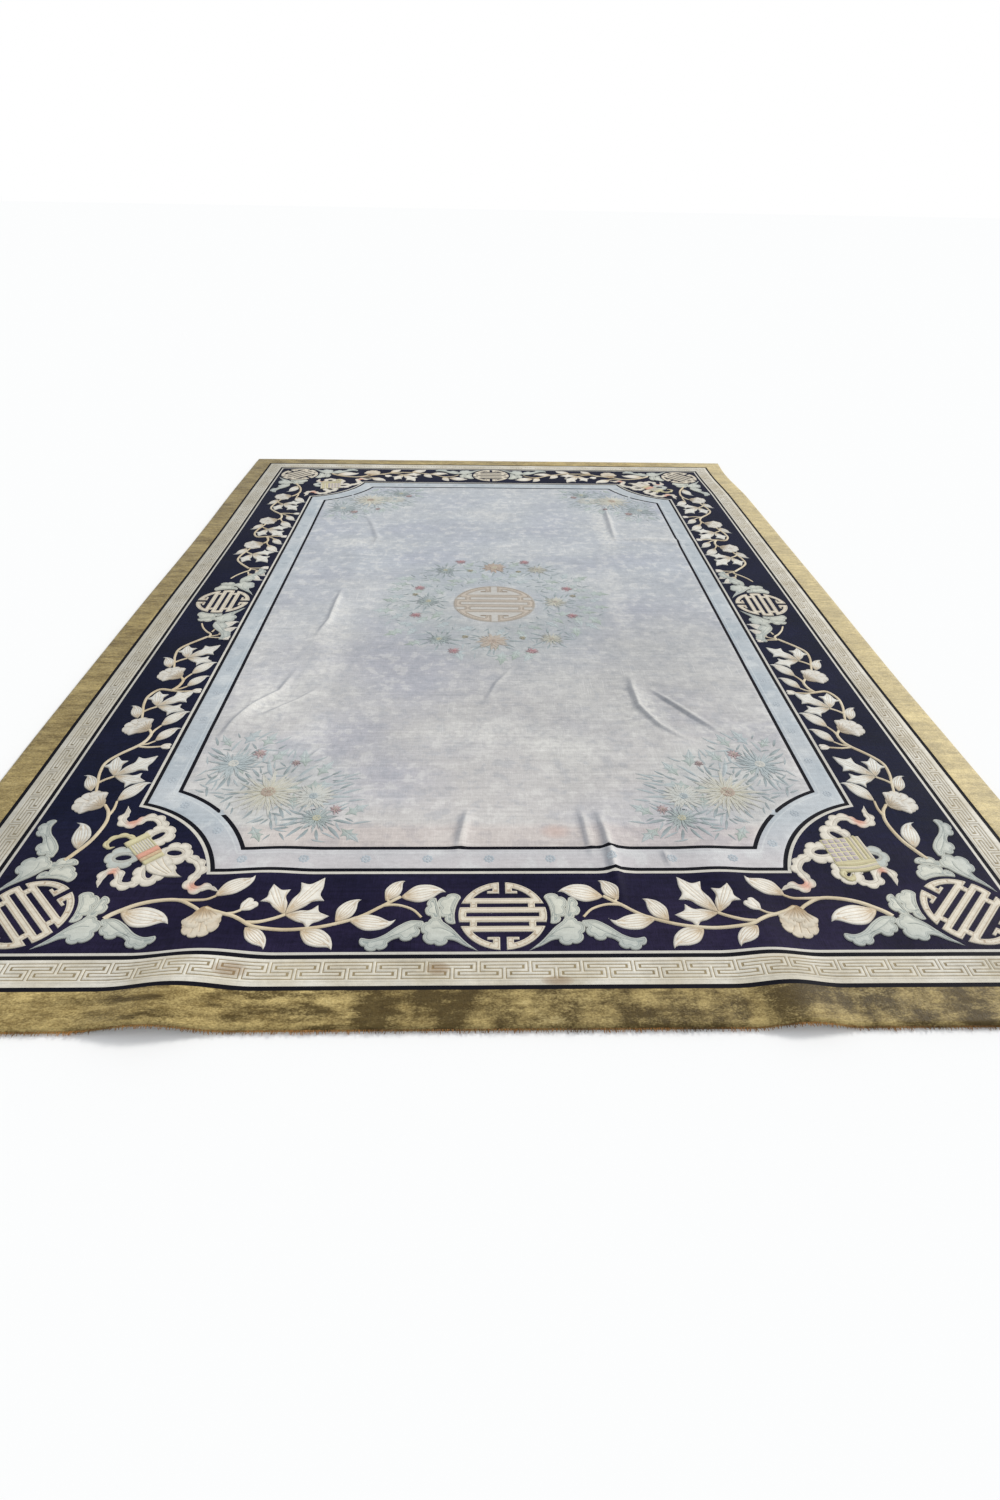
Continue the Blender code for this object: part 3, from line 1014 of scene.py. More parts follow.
def raised_line_tree():
    """Rounded ridges along a mesh's edges, as often as Count says, a Pitch apart along X."""
    tree = ShapeTree("raised_line", {
        "Half Width": "NodeSocketFloat", "Height": "NodeSocketFloat", "Sides": "NodeSocketInt",
        "Count": "NodeSocketInt", "Pitch": "NodeSocketFloat",
    })
    given = tree.given
    inputs = {"Count": given["Count"], "Offset": tree.vector(given["Pitch"], 0.0, 0.0)}
    places = tree.node("GeometryNodeMeshLine", None, inputs)
    inputs = {"Points": places, "Instance": given["Geometry"]}
    copies = tree.node("GeometryNodeInstanceOnPoints", None, inputs)
    copies = tree.node("GeometryNodeRealizeInstances", None, {"Geometry": copies})
    lines = tree.node("GeometryNodeMeshToCurve", None, {"Mesh": copies})
    lines = tree.node("GeometryNodeSetCurveNormal", {"mode": "Z_UP"}, {"Curve": lines})
    inputs = {"Resolution": given["Sides"], "Radius": 1.0}
    circle = tree.node("GeometryNodeCurvePrimitiveCircle", None, inputs)
    size = tree.vector(given["Half Width"], given["Height"], 1.0)
    profile = tree.node("GeometryNodeTransform", None, {"Geometry": circle, "Scale": size})
    width = tree.node("GeometryNodeInputNamedAttribute", {"data_type": "FLOAT"}, {"Name": "width"})
    inputs = {"Curve": lines, "Profile Curve": profile, "Scale": width, "Fill Caps": True}
    ridges = tree.node("GeometryNodeCurveToMesh", None, inputs)
    tree.end_with(tree.node("GeometryNodeSetShadeSmooth", None, {"Geometry": ridges}))
    return tree


def rosette_tree():
    """A ring of round petals about a heart, on each of a mesh's points."""
    tree = ShapeTree("rosettes", {
        "Petals": "NodeSocketInt", "Radius": "NodeSocketFloat", "Height": "NodeSocketFloat",
    })
    given = tree.given
    radius = Number(tree, given["Radius"])
    ring = tree.node("GeometryNodeMeshCircle", None, {"Vertices": given["Petals"], "Radius": radius * 0.68})
    ball = tree.node("GeometryNodeMeshUVSphere", None, {"Segments": 8, "Rings": 6, "Radius": 1.0})
    petal_size = tree.vector(radius * 0.30, radius * 0.30, given["Height"])
    petal = tree.node("GeometryNodeTransform", None, {"Geometry": ball, "Scale": petal_size})
    petals = tree.node("GeometryNodeInstanceOnPoints", None, {"Points": ring, "Instance": petal})
    heart_size = tree.vector(radius * 0.36, radius * 0.36, Number(tree, given["Height"]) * 1.3)
    heart = tree.node("GeometryNodeTransform", None, {"Geometry": ball, "Scale": heart_size})
    rosette = tree.node("GeometryNodeJoinGeometry", None, {"Geometry": petals})
    tree.feed(rosette.inputs["Geometry"], heart)
    inputs = {"Points": given["Geometry"], "Instance": rosette}
    copies = tree.node("GeometryNodeInstanceOnPoints", None, inputs)
    tree.end_with(tree.node("GeometryNodeSetShadeSmooth", None, {"Geometry": copies}))
    return tree


# Tufts of cut pile: spacing, length and half widths, and their chance angles and sizes, least to most
TUFT_SPACING = 0.0022
TUFT_LENGTH = 0.011
TUFT_RADIUS = 0.0013
TUFT_TIP = 0.0006
TUFT_ANGLES = ((1.35, -0.35, -0.45), (1.95, 0.35, 0.45))
TUFT_SIZES = ((0.7, 0.7, 0.45), (1.2, 1.2, 1.25))


def chance_vector(tree, least, most, seed):
    """Three numbers by chance for each point, each between its least and its most."""
    return tree.node("FunctionNodeRandomValue", {"data_type": "FLOAT_VECTOR"}, {0: least, 1: most, 8: seed})


def stubble_tree():
    """Short tufts on a mesh's points, leaning out along -Y by chance angles."""
    tree = ShapeTree("stubble", {
        "Length": "NodeSocketFloat", "Radius": "NodeSocketFloat", "Seed": "NodeSocketInt",
    })
    given = tree.given
    inputs = {
        "Vertices": 3, "Radius Top": TUFT_TIP, "Radius Bottom": given["Radius"], "Depth": given["Length"],
    }
    tuft = tree.node("GeometryNodeMeshCone", None, inputs)
    angles = chance_vector(tree, *TUFT_ANGLES, given["Seed"])
    sizes = chance_vector(tree, *TUFT_SIZES, Number(tree, given["Seed"]) + 1)
    turned = tree.node("FunctionNodeEulerToRotation", None, {0: angles})
    inputs = {"Points": given["Geometry"], "Instance": tuft, "Rotation": turned, "Scale": sizes}
    tree.end_with(tree.node("GeometryNodeInstanceOnPoints", None, inputs))
    return tree


def edge_mesh(lines, rings=False):
    """A mesh of edges along lines, each given with its points' widths."""
    mesh = bpy.data.meshes.new("lines")
    edges, start = [], 0
    for points, _ in lines:
        last = len(points) - 1
        edges += [(start + i, start + i + 1) for i in range(last)]
        if rings:
            edges.append((start + last, start))
        start += len(points)
    mesh.from_pydata([(x, y, 0.0) for points, _ in lines for x, y in points], edges, [])
    widths = np.concatenate([widths for _, widths in lines]).astype(np.float32)
    mesh.attributes.new("width", "FLOAT", "POINT").data.foreach_set("value", widths)
    return mesh


def mesh_points(mesh):
    points = np.empty(len(mesh.vertices) * 3, np.float32)
    mesh.vertices.foreach_get("co", points)
    return points.reshape(-1, 3).astype(float)


def mesh_faces(mesh):
    return [tuple(face.vertices) for face in mesh.polygons]


def mirroring(side_x, side_y):
    """A placing that mirrors flat points drawn in the near left quarter."""
    return lambda flat: flat * (side_x, side_y)


AS_DRAWN = mirroring(1, 1)


def laid_piece(name, parts, silk, top=1.0):
    """One piece from grown meshes, each laid on the rug where its placing puts its flat points."""
    laid = []
    for mesh, placing in parts:
        points = mesh_points(mesh)
        laid.append((lay(placing(points[:, :2]), np.minimum(points[:, 2], top)), mesh_faces(mesh)))
    piece = add_mesh(name, *joined(laid), [silk])
    piece.data.set_sharp_from_angle(angle=math.radians(50))
    return finish_piece(piece)


# The ground


def notch_arc(inset, side_x, side_y):
    """One corner's round notch, anticlockwise round the frame."""
    radius, reach = inset - NOTCH_INSET, inset - NOTCH_CENTRE
    first = math.degrees(math.asin(reach / radius))
    turns = arc((0.0, 0.0), radius, first, 90.0 - first, NOTCH_STEP)
    corner = np.array((side_x * (HALF_WIDTH - NOTCH_CENTRE), side_y * (HALF_LENGTH - NOTCH_CENTRE)))
    points = corner - turns * (side_x, side_y)
    return points[::-1] if side_x == side_y else points


def rectangle(inset):
    corners = np.array(CORNERS) * (HALF_WIDTH - inset, HALF_LENGTH - inset)
    return np.vstack([run(a, b, GROUND_STEP) for a, b in zip(corners, np.roll(corners, -1, axis=0))])


def notched_frame(inset, step=GROUND_STEP):
    arcs = [notch_arc(inset, x, y) for x, y in CORNERS]
    outline = []
    for here, following in zip(arcs, arcs[1:] + arcs[:1]):
        outline += [here[:-1], run(here[-1], following[0], step)]
    return np.vstack(outline)


def guard_rows(middle):
    """A guard line's two edges and its middle."""
    return middle - GUARD_HALF_WIDTH, middle, middle + GUARD_HALF_WIDTH


# Outlines that the ground's mesh follows
STRAIGHT_LINES = (
    *(depth for depth, _ in EDGE_SHOULDER), *guard_rows(OUTER_GUARD), *guard_rows(FRET_GUARD),
    FRET_START, FRET_END, GROUND_START,
)
NOTCHED_LINES = (GROUND_END, *guard_rows(GROUND_GUARD), *guard_rows(FIELD_GUARD))

# The ground's finishes, and the inset up to which each band has its own
OLIVE, GUARD, GROOVES, CREAM_LINE, NAVY, BAND, FIELD, COTTON, FRET_CREAM = range(9)
BANDS = (
    (OUTER_GUARD - GUARD_HALF_WIDTH, OLIVE),
    (OUTER_GUARD + GUARD_HALF_WIDTH, GUARD),
    (FRET_START, FRET_CREAM),
    (FRET_END, GROOVES),
    (FRET_GUARD - GUARD_HALF_WIDTH, FRET_CREAM),
    (FRET_GUARD + GUARD_HALF_WIDTH, GUARD),
    (GROUND_START, CREAM_LINE),
    (GROUND_END, NAVY),
    (GROUND_GUARD - GUARD_HALF_WIDTH, CREAM_LINE),
    (GROUND_GUARD + GUARD_HALF_WIDTH, GUARD),
    (FIELD_GUARD - GUARD_HALF_WIDTH, BAND),
    (FIELD_GUARD + GUARD_HALF_WIDTH, GUARD),
    (math.inf, FIELD),
)


def band_of(middles):
    """The finish of each place on the ground."""
    straight_in = inset_of(middles)
    notched_in = np.maximum(frame_inset(middles), BORDER_SPLIT)
    inset = np.where(straight_in < BORDER_SPLIT, straight_in, notched_in)
    limits, finishes = zip(*BANDS)
    finish = np.array(finishes)[np.searchsorted(limits, inset)]
    from_edges = np.array((HALF_WIDTH, HALF_LENGTH)) - np.abs(middles)
    from_diagonal = np.abs(from_edges[:, 0] - from_edges[:, 1]) / math.sqrt(2)
    on_arc = straight_in > FIELD_GUARD + BREAK_REACH
    broken = on_arc & (from_diagonal < BREAK_HALF_WIDTH) & (np.abs(inset - FIELD_GUARD) < BREAK_REACH)
    finish[broken] = BAND
    return finish


def ground_drop(points):
    """How far the rounded rim and the carved guard lines lie below the pile."""
    straight_in, notched_in = inset_of(points), frame_inset(points)
    drop = np.interp(straight_in, *zip(*EDGE_SHOULDER))
    for middle in (OUTER_GUARD, FRET_GUARD, GROUND_GUARD, FIELD_GUARD):
        inset = straight_in if middle < BORDER_SPLIT else notched_in
        drop = np.maximum(drop, GUARD_DEPTH * np.clip(1 - np.abs(inset - middle) / GUARD_HALF_WIDTH, 0, 1))
    return drop


def clear_of_lines(flat, gap):
    """The points that are further than the gap from the ground's outlines."""
    straight_in, notched_in = inset_of(flat), frame_inset(flat)
    clear = [np.abs(straight_in - line) > gap for line in STRAIGHT_LINES]
    clear += [np.abs(notched_in - line) > gap for line in NOTCHED_LINES]
    return flat[np.all(clear, axis=0)]


def ground_points(rim):
    """Free points of the ground: a grid, and rows along the creases, closer together."""
    lines = [straight([row[:2] for row in rows], CREASE_STEP) for rows in CREASES.values()]
    close = np.vstack([beside(line, offset) for line in lines for offset in CREASE_ROWS])
    grid = grid_over(rim, GROUND_STEP)
    beyond_rows = distance_to(grid, lines) > max(CREASE_ROWS) + 0.004
    grid = grid[(inset_of(grid) > 0.010) & beyond_rows]
    return clear_of_lines(grid, 0.4 * GROUND_STEP), clear_of_lines(close, 0.002)


def on_rug(middles):
    return inset_of(middles) > 0


def make_ground(fret_cream):
    """The rug itself: one closed sheet of pile with the border's bands, and its underside."""
    loops = [rectangle(inset) for inset in STRAIGHT_LINES]
    loops += [notched_frame(inset) for inset in NOTCHED_LINES]
    rim, ring = loops[0], len(loops[0])
    points = np.vstack((*loops, *ground_points(rim)))
    top, top_faces = triangulate(points, rings_of(loops), on_rug)
    if len(top) != len(points):
        raise ValueError("two of the ground's outlines meet")

    coarse = grid_over(rim, UNDERSIDE_STEP)
    under = np.vstack((rim, coarse[inset_of(coarse) > 0.4 * UNDERSIDE_STEP]))
    under, under_faces = triangulate(under, rings_of([rim]), on_rug)
    under_verts = np.column_stack((drawn_in(under), ripple_height(under)))
    walls = [(i, len(top) + i, len(top) + (i + 1) % ring, (i + 1) % ring) for i in range(ring)]
    faces = top_faces.tolist() + walls + (under_faces[:, ::-1] + len(top)).tolist()
    bands = band_of(top[top_faces].mean(1))
    finish = np.concatenate((bands, np.full(len(walls), OLIVE), np.full(len(under_faces), COTTON)))
    silks = [
        olive_silk(), guard_silk(), fret_ground_silk(), cream_line_silk(), navy_silk(), band_silk(),
        field_silk(), foundation_cotton(), fret_cream,
    ]
    attributes = {
        "inset": np.concatenate((frame_inset(top), frame_inset(under))),
        "crest": np.concatenate((crease_height(top) / 0.010, np.zeros(len(under)))),
        "shade": np.concatenate((crease_shade(top), np.zeros(len(under)))),
    }
    verts = np.vstack((lay(top, -ground_drop(top)), under_verts))
    ground = add_mesh("rug_ground", verts, faces, silks, attributes, finish)
    ground.data.set_sharp_from_angle(angle=math.radians(50))
    return finish_piece(ground)


# Motifs of the floral border

CREAM = linear("#e3ded2")
SIDE_CREAM = linear("#d9d8d0")
ROUNDEL_CREAM = linear("#dbd2bf")
PEACH = linear("#cab698")
SIDE_PEACH = linear("#c4b8a2")
PEONY_CREAM = linear("#d1c6b2")
PEONY_TAN = linear("#a98f6d")
SIDE_PEONY_CREAM = linear("#d3cfc5")
SIDE_PEONY_TAN = linear("#b0a18a")
CELADON = linear("#b5b9b2")
PALE_GREEN = linear("#c7c7ba")
CORAL = linear("#dba08a")
YELLOW = linear("#cfc7a0")
LAVENDER = linear("#c4bcc4")
WHITE = linear("#d8d1c2")

LEAF_LENGTH = 0.092
BUD_LENGTH = 0.046
PETAL_CONTOUR = 0.0032


def blend(share, first, second):
    """Colours from first, where the share is 0, to second, where it is 1."""
    share = np.clip(share, 0.0, 1.0)[:, None]
    return (1.0 - share) * np.asarray(first) + share * np.asarray(second)


def dyed_along(length, first, second):
    """A dye that goes from first, at the base, to second, at a length along X."""
    return lambda points: blend(points[:, 0] / length, first, second)


def group(shapes, **place):
    return [shape.placed(**place) for shape in shapes]


def spanned(shape, start, end, length, flip=False, lift=0.0):
    """A shape that runs along X for its length, laid from start to end."""
    way = np.subtract(end, start)
    turn = math.degrees(math.atan2(way[1], way[0]))
    return shape.placed(start, turn, np.linalg.norm(way) / length, flip, lift)


def leaf(half_width=0.25, curl=0.11, sway=0.0, base_dye=PEACH, dye=CREAM, relief=RELIEF):
    """A pointed leaf along X from its base, its tip curled to the left."""
    w = half_width

    def bent(points, side=1.0):
        x, y = np.array(points, float).T
        return np.column_stack((x, side * y + sway * x * (1.0 - x))) * LEAF_LENGTH

    below = ((0, 0), (0.14, -0.45 * w), (0.40, -w), (0.70, -0.80 * w), (0.90, -0.18 * w), (1, curl))
    above = ((1, curl), (0.87, 0.38 * w), (0.62, 0.88 * w), (0.36, w), (0.12, 0.5 * w), (0, 0))
    outer = ((0.12, 0.20), (0.34, 0.62), (0.60, 0.58), (0.80, 0.24))
    inner = ((0.14, 0.08), (0.38, 0.29), (0.66, 0.27), (0.84, 0.12))
    veins = [smooth(bent(((0.03, 0), (0.35, 0), (0.70, 0.02), (0.93, 0.7 * curl))))]
    veins += [smooth(bent(vein, side)) for side in (-w, w) for vein in (outer, inner)]
    outline = closed(smooth(bent(below)), smooth(bent(above)))
    return carve([outline], veins, relief, dye=dyed_along(0.45 * LEAF_LENGTH, base_dye, dye))


def lily_petal(length, width=1.0, base_dye=PEACH, dye=CREAM):
    """A slender petal along X, with a sharp tooth curled out on each side."""
    size = np.array((1.0, width)) * length
    stretches = (
        ((0, 0), (0.14, -0.08), (0.32, -0.16), (0.48, -0.20), (0.60, -0.37)),
        ((0.60, -0.37), (0.67, -0.19), (0.82, -0.10), (1.0, 0.06)),
        ((1.0, 0.06), (0.87, 0.11), (0.74, 0.18), (0.68, 0.36)),
        ((0.68, 0.36), (0.52, 0.20), (0.32, 0.17), (0.14, 0.09), (0, 0)),
    )
    outline = closed(*(smooth(np.array(points) * size) for points in stretches))
    veins = [
        ((0.08, 0.0), (0.50, 0.01), (0.93, 0.04)),
        ((0.12, -0.03), (0.34, -0.11), (0.56, -0.24)),
        ((0.12, 0.03), (0.38, 0.11), (0.63, 0.25)),
        ((0.16, -0.01), (0.46, -0.07), (0.78, -0.07)),
        ((0.16, 0.02), (0.46, 0.07), (0.80, 0.09)),
    ]
    veins = [smooth(np.array(points) * size) for points in veins]
    return carve([outline], veins, dye=dyed_along(0.40 * length, base_dye, dye))


def lily(base_dye=PEACH, dye=CREAM):
    """Three toothed petals from a base at the origin, the tallest along X."""
    return [
        lily_petal(0.104, 1.00, base_dye, dye).placed(turn=63, flip=True),
        lily_petal(0.104, 1.00, base_dye, dye).placed(turn=-60, lift=0.0004),
        lily_petal(0.142, 0.84, base_dye, dye).placed(lift=0.0008),
    ]


def cup_outline(side, rim, bulge):
    """An outline with one side, drawn from the base, and its mirror image, and round lobes between them."""
    base = straight((side[0], side[0] * (1, -1)))
    return closed(smooth(side * (1, -1)), lobes(rim, bulge), smooth(side[::-1]), base)


def fan_petal(length, half_angle, dye=PEONY_CREAM, base_dye=PEONY_TAN, relief=RELIEF,
              contours=(PETAL_CONTOUR,)):
    """A wide petal along X, rounded to three lobes."""

    def at(reach, angle):
        turn = math.radians(angle)
        return length * reach * math.cos(turn), length * reach * math.sin(turn)

    def tint(points):
        return blend((np.hypot(points[:, 0], points[:, 1]) / length - 0.25) / 0.55, base_dye, dye)

    side = np.array((at(0.10, 0.8 * half_angle), at(0.45, 0.9 * half_angle), at(0.88, half_angle)))
    rim = [at(0.88, -half_angle), at(0.94, -0.36 * half_angle), at(0.94, 0.36 * half_angle)]
    outline = cup_outline(side, (*rim, at(0.88, half_angle)), 0.24)
    turns = (-0.5 * half_angle, 0.0, 0.5 * half_angle)
    veins = [smooth((at(0.34, 0.7 * turn), at(0.55, turn), at(0.76, 1.1 * turn))) for turn in turns]
    return carve([outline], veins, relief, dye=tint, contours=contours)


def flower_heart(radius, dye):
    """Five lobed petals about a bead, for the middle of a chrysanthemum."""
    contours = (PETAL_CONTOUR,) if radius > 0.022 else ()
    petal = fan_petal(radius, 42, dye, dye, FIELD_RELIEF, contours)
    petals = [petal.placed(turn=72 * i, lift=0.0002 * i) for i in range(5)]
    turns = np.radians(np.linspace(0, 360, 7))
    rim = 0.16 * radius * np.column_stack((np.cos(turns), np.sin(turns)))
    bead = carve([lobes(rim, 0.34)[:-1]], relief=FIELD_RELIEF, dye=dye)
    return [*petals, bead.placed(lift=0.0011)]


def side_peony(dye=PEONY_CREAM, base_dye=PEONY_TAN):
    """A peony seen from its side: a round cup of petals from a base at the origin, open along X."""
    rim = (
        (0.036, -0.042), (0.066, -0.056), (0.094, -0.036), (0.104, -0.004), (0.097, 0.030), (0.070, 0.055),
        (0.036, 0.043),
    )
    side = np.array(((0.0, 0.009), (0.016, 0.030), (0.036, 0.043)))
    ribs = [smooth(((0.060, 0.5 * y), (0.078, 0.8 * y), (0.092, y))) for y in (-0.026, 0.0, 0.024)]
    tint = dyed_along(0.09, base_dye, dye)
    cup = carve([cup_outline(side, rim, 0.27)], ribs, dye=tint, contours=(0.0040,))
    outer, inner = fan_petal(0.080, 27, dye, base_dye), fan_petal(0.060, 32, dye, base_dye)
    return [
        cup,
        outer.placed(turn=31, lift=0.0007),
        outer.placed(turn=-31, size=1.04, lift=0.0010),
        inner.placed(lift=0.0015),
    ]


def bud():
    """A heart-shaped bud along X."""
    point = np.array(((0.0, 0.0), (0.36, 0.36), (0.74, 0.42))) * BUD_LENGTH
    top = np.array(((0.74, -0.42), (0.90, 0.0), (0.74, 0.42))) * BUD_LENGTH
    outline = closed(smooth(point * (1, -1)), lobes(top, 0.42), smooth(point[::-1]))
    veins = [np.array(((0.15, 0.0), (0.45, y), (0.80, 1.8 * y))) * BUD_LENGTH for y in (-0.12, 0.12)]
    return carve([outline], [smooth(vein) for vein in veins], dye=CREAM)


SCROLL_CONTOURS = (0.0048, 0.0092)


def scroll_leaves():
    """Four celadon leaves on the -X side of a roundel that is centred on the origin: two that hug its
    ring, and two that curl away below."""
    hugging = closed(
        arc((0.0, 0.0), 0.121, 193, 152),
        lobes((
            (-0.1068, 0.0568), (-0.146, 0.060), (-0.159, 0.022), (-0.145, -0.008), (-0.1179, -0.0272),
        ), 0.36),
    )
    small = closed(
        smooth(((-0.154, -0.012), (-0.160, 0.020), (-0.170, 0.056))),
        lobes(((-0.170, 0.056), (-0.190, 0.028), (-0.181, -0.004), (-0.154, -0.012)), 0.34),
    )
    near_curl = closed(
        smooth(((-0.062, -0.114), (-0.094, -0.084), (-0.126, -0.044), (-0.150, -0.022))),
        lobes((
            (-0.150, -0.022), (-0.187, -0.024), (-0.194, -0.062), (-0.168, -0.092), (-0.136, -0.080),
        ), 0.36),
        smooth(((-0.136, -0.080), (-0.118, -0.084), (-0.094, -0.099), (-0.062, -0.114))),
    )
    far_curl = closed(
        smooth((
            (-0.202, -0.020), (-0.232, -0.020), (-0.262, -0.038), (-0.294, -0.066), (-0.322, -0.078),
            (-0.346, -0.074),
        )),
        lobes(((-0.346, -0.074), (-0.336, -0.100), (-0.306, -0.108), (-0.282, -0.090)), 0.34),
        smooth(((-0.282, -0.090), (-0.270, -0.080), (-0.254, -0.074))),
        lobes(((-0.254, -0.074), (-0.222, -0.072), (-0.210, -0.044), (-0.202, -0.020)), 0.36),
    )
    ribbed = (
        (hugging, ((-0.122, -0.010), (-0.132, 0.020), (-0.122, 0.054))),
        (small, ((-0.163, -0.004), (-0.170, 0.018), (-0.172, 0.044))),
        (near_curl, ((-0.086, -0.100), (-0.122, -0.064), (-0.152, -0.046), (-0.176, -0.046))),
        (far_curl, ((-0.212, -0.030), (-0.240, -0.052), (-0.282, -0.076), (-0.320, -0.090))),
    )

    def tint(points):
        return blend(-points[:, 1] / 0.10, PALE_GREEN, CELADON)

    shapes = []
    for outline, rib in ribbed:
        shapes.append(carve([outline], [smooth(rib)], dye=tint, contours=SCROLL_CONTOURS))
    return [shape.placed(lift=0.0004 * i) for i, shape in enumerate(shapes)]


# Roundel sizes, in shares of its diameter
BAR_EDGES = (0.0275, 0.1105, 0.1655, 0.2485)
SLOT_END = 0.29
COLUMN_END = 0.37
CENTRE_SLOT_END = 0.41
RING_THICKNESS = 0.083
SPLIT = 0.035
STEM_END = 0.115
FOOT_END = 0.176
FOOT_LEVELS = (0.32, 0.36)
ROUNDEL_CONTOURS = (0.0042,)
FIELD_ROUNDEL_CONTOURS = (0.0040, 0.0086)


def roundel(diameter, relief, contours, dye):
    """A longevity sign: bars joined by columns inside a ring that is split at its top and bottom."""
    centre_edge, low, high, top = BAR_EDGES
    inner_radius = 0.5 - RING_THICKNESS

    def angle(level, radius=0.5):
        return math.degrees(math.asin(level / radius))

    step = RIM_STEP / diameter

    def corners(*points):
        return straight(points, step)

    notch_low = arc((0, 0), 0.5, 0.0, angle(low), step)
    outside = arc((0, 0), 0.5, angle(high), 90 - angle(SPLIT), step)
    stem, shoulder = 90 - angle(STEM_END, inner_radius), angle(top, inner_radius)
    inside = arc((0, 0), inner_radius, stem, shoulder, step)
    sole, instep = FOOT_LEVELS
    foot = ((SPLIT, sole), (FOOT_END, sole), (FOOT_END, instep), (STEM_END, instep))
    middle_top = (0.0, top)
    quarter = closed(
        notch_low,
        corners(notch_low[-1], (COLUMN_END, low), (COLUMN_END, high), outside[0]),
        outside,
        corners(outside[-1], *foot, inside[0]),
        inside,
        corners(inside[-1], middle_top),
    )
    quarter = np.vstack((quarter, middle_top))
    upper = np.vstack((quarter, (quarter * (-1, 1))[::-1][1:]))
    rim = np.vstack((upper[:-1], -upper[:-1]))
    slots = ((CENTRE_SLOT_END, -centre_edge, centre_edge), (SLOT_END, low, high), (SLOT_END, -high, -low))
    holes = [box_outline((-x, y0), (x, y1), step) for x, y0, y1 in slots]
    loops = [loop * diameter for loop in (rim, *holes)]
    return carve(loops, (), relief, contours=contours, dye=dye)


# The near left quarter's border: bases of the left border's peonies, from the middle to the corner
SIDE_PEONY_X = -1.204
SIDE_PEONIES = (-0.638, -0.978, -1.371)


def quarter_leaves():
    """Leaves, lilies, peonies and buds of half the near border and half the left border."""
    straight_leaf, swayed_leaf, slim_leaf = leaf(), leaf(0.24, 0.13, 0.22), leaf(0.21, 0.15, -0.12)
    side_leaf = leaf(0.21, 0.15, -0.12, SIDE_PEACH, SIDE_CREAM)
    carvings = []
    for kind, start, end, flip in (
        (straight_leaf, (-0.300, -1.764), (-0.262, -1.690), True),
        (straight_leaf, (-0.262, -1.752), (-0.148, -1.722), True),
        (slim_leaf, (-0.388, -1.826), (-0.268, -1.842), False),
        (straight_leaf, (-0.418, -1.834), (-0.370, -1.754), True),
        (straight_leaf, (-0.500, -1.860), (-0.408, -1.912), True),
        (straight_leaf, (-0.633, -1.858), (-0.570, -1.914), True),
        (swayed_leaf, (-0.738, -1.750), (-0.641, -1.691), False),
        (swayed_leaf, (-0.960, -1.799), (-0.825, -1.822), True),
        # Left border
        (side_leaf, (-1.146, -0.282), (-1.068, -0.200), True),
        (side_leaf, (-1.120, -0.326), (-1.060, -0.252), True),
        (side_leaf, (-1.162, -1.572), (-1.192, -1.458), False),
    ):
        carvings.append(spanned(kind, start, end, LEAF_LENGTH, flip))
    flower, side_flower, round_bud = lily(), lily(SIDE_PEACH, SIDE_CREAM), bud()
    bloom, side_bloom = side_peony(), side_peony(SIDE_PEONY_CREAM, SIDE_PEONY_TAN)
    carvings += group(flower, at=(-0.548, -1.812), turn=55, size=1.08)
    carvings.append(spanned(round_bud, (-0.659, -1.806), (-0.629, -1.770), BUD_LENGTH))
    carvings += group([petal.narrowed(0.80) for petal in bloom], at=(-0.752, -1.784), turn=-82)
    x = SIDE_PEONY_X
    for unit, y in enumerate(SIDE_PEONIES):
        carvings += group(side_bloom, at=(x + 0.040, y - 0.022), turn=148 + 3 * unit, size=0.86)
        carvings += group(side_flower, at=(x + 0.020, y + 0.122), turn=44, size=1.02)
        leaves = [((x - 0.022, y + 0.050), (x - 0.062, y + 0.133), False)]
        leaves.append(((x + 0.072, y + 0.004), (x + 0.136, y + 0.100), True))
        if y > SIDE_PEONIES[-1]:
            leaves.append(((x + 0.081, y - 0.084), (x + 0.136, y - 0.002), True))
        carvings += [spanned(side_leaf, start, end, LEAF_LENGTH, flip) for start, end, flip in leaves]
        if y > SIDE_PEONIES[-1]:
            carvings.append(spanned(round_bud, (x + 0.106, y - 0.114), (x + 0.142, y - 0.112), BUD_LENGTH))
    carvings.append(spanned(round_bud, (-1.106, -0.348), (-1.066, -0.350), BUD_LENGTH))
    return carvings


def roundel_places():
    """Each border roundel's place and turn."""
    side_x, side_y = SIDE_ROUNDEL
    places = [((0.0, -END_ROUNDEL_Y), 0), ((0.0, END_ROUNDEL_Y), 180)]
    places += [((side * side_x, side_y), 90) for side in (-1, 1)]
    for x, y in CORNERS:
        inward = math.degrees(math.atan2(-y, -x))
        places.append((CORNER_ROUNDEL * (x, y), inward - 90))
    return places


def make_roundels():
    sign = roundel(2 * ROUNDEL_RADIUS, RELIEF, ROUNDEL_CONTOURS, ROUNDEL_CREAM)
    carvings = [sign.placed(at, turn) for at, turn in roundel_places()]
    silk = carved_silk("roundel_silk", ROUNDEL_CONTOURS, "#ab9478", 0.75)
    return build("shou_roundels", carvings, silk)


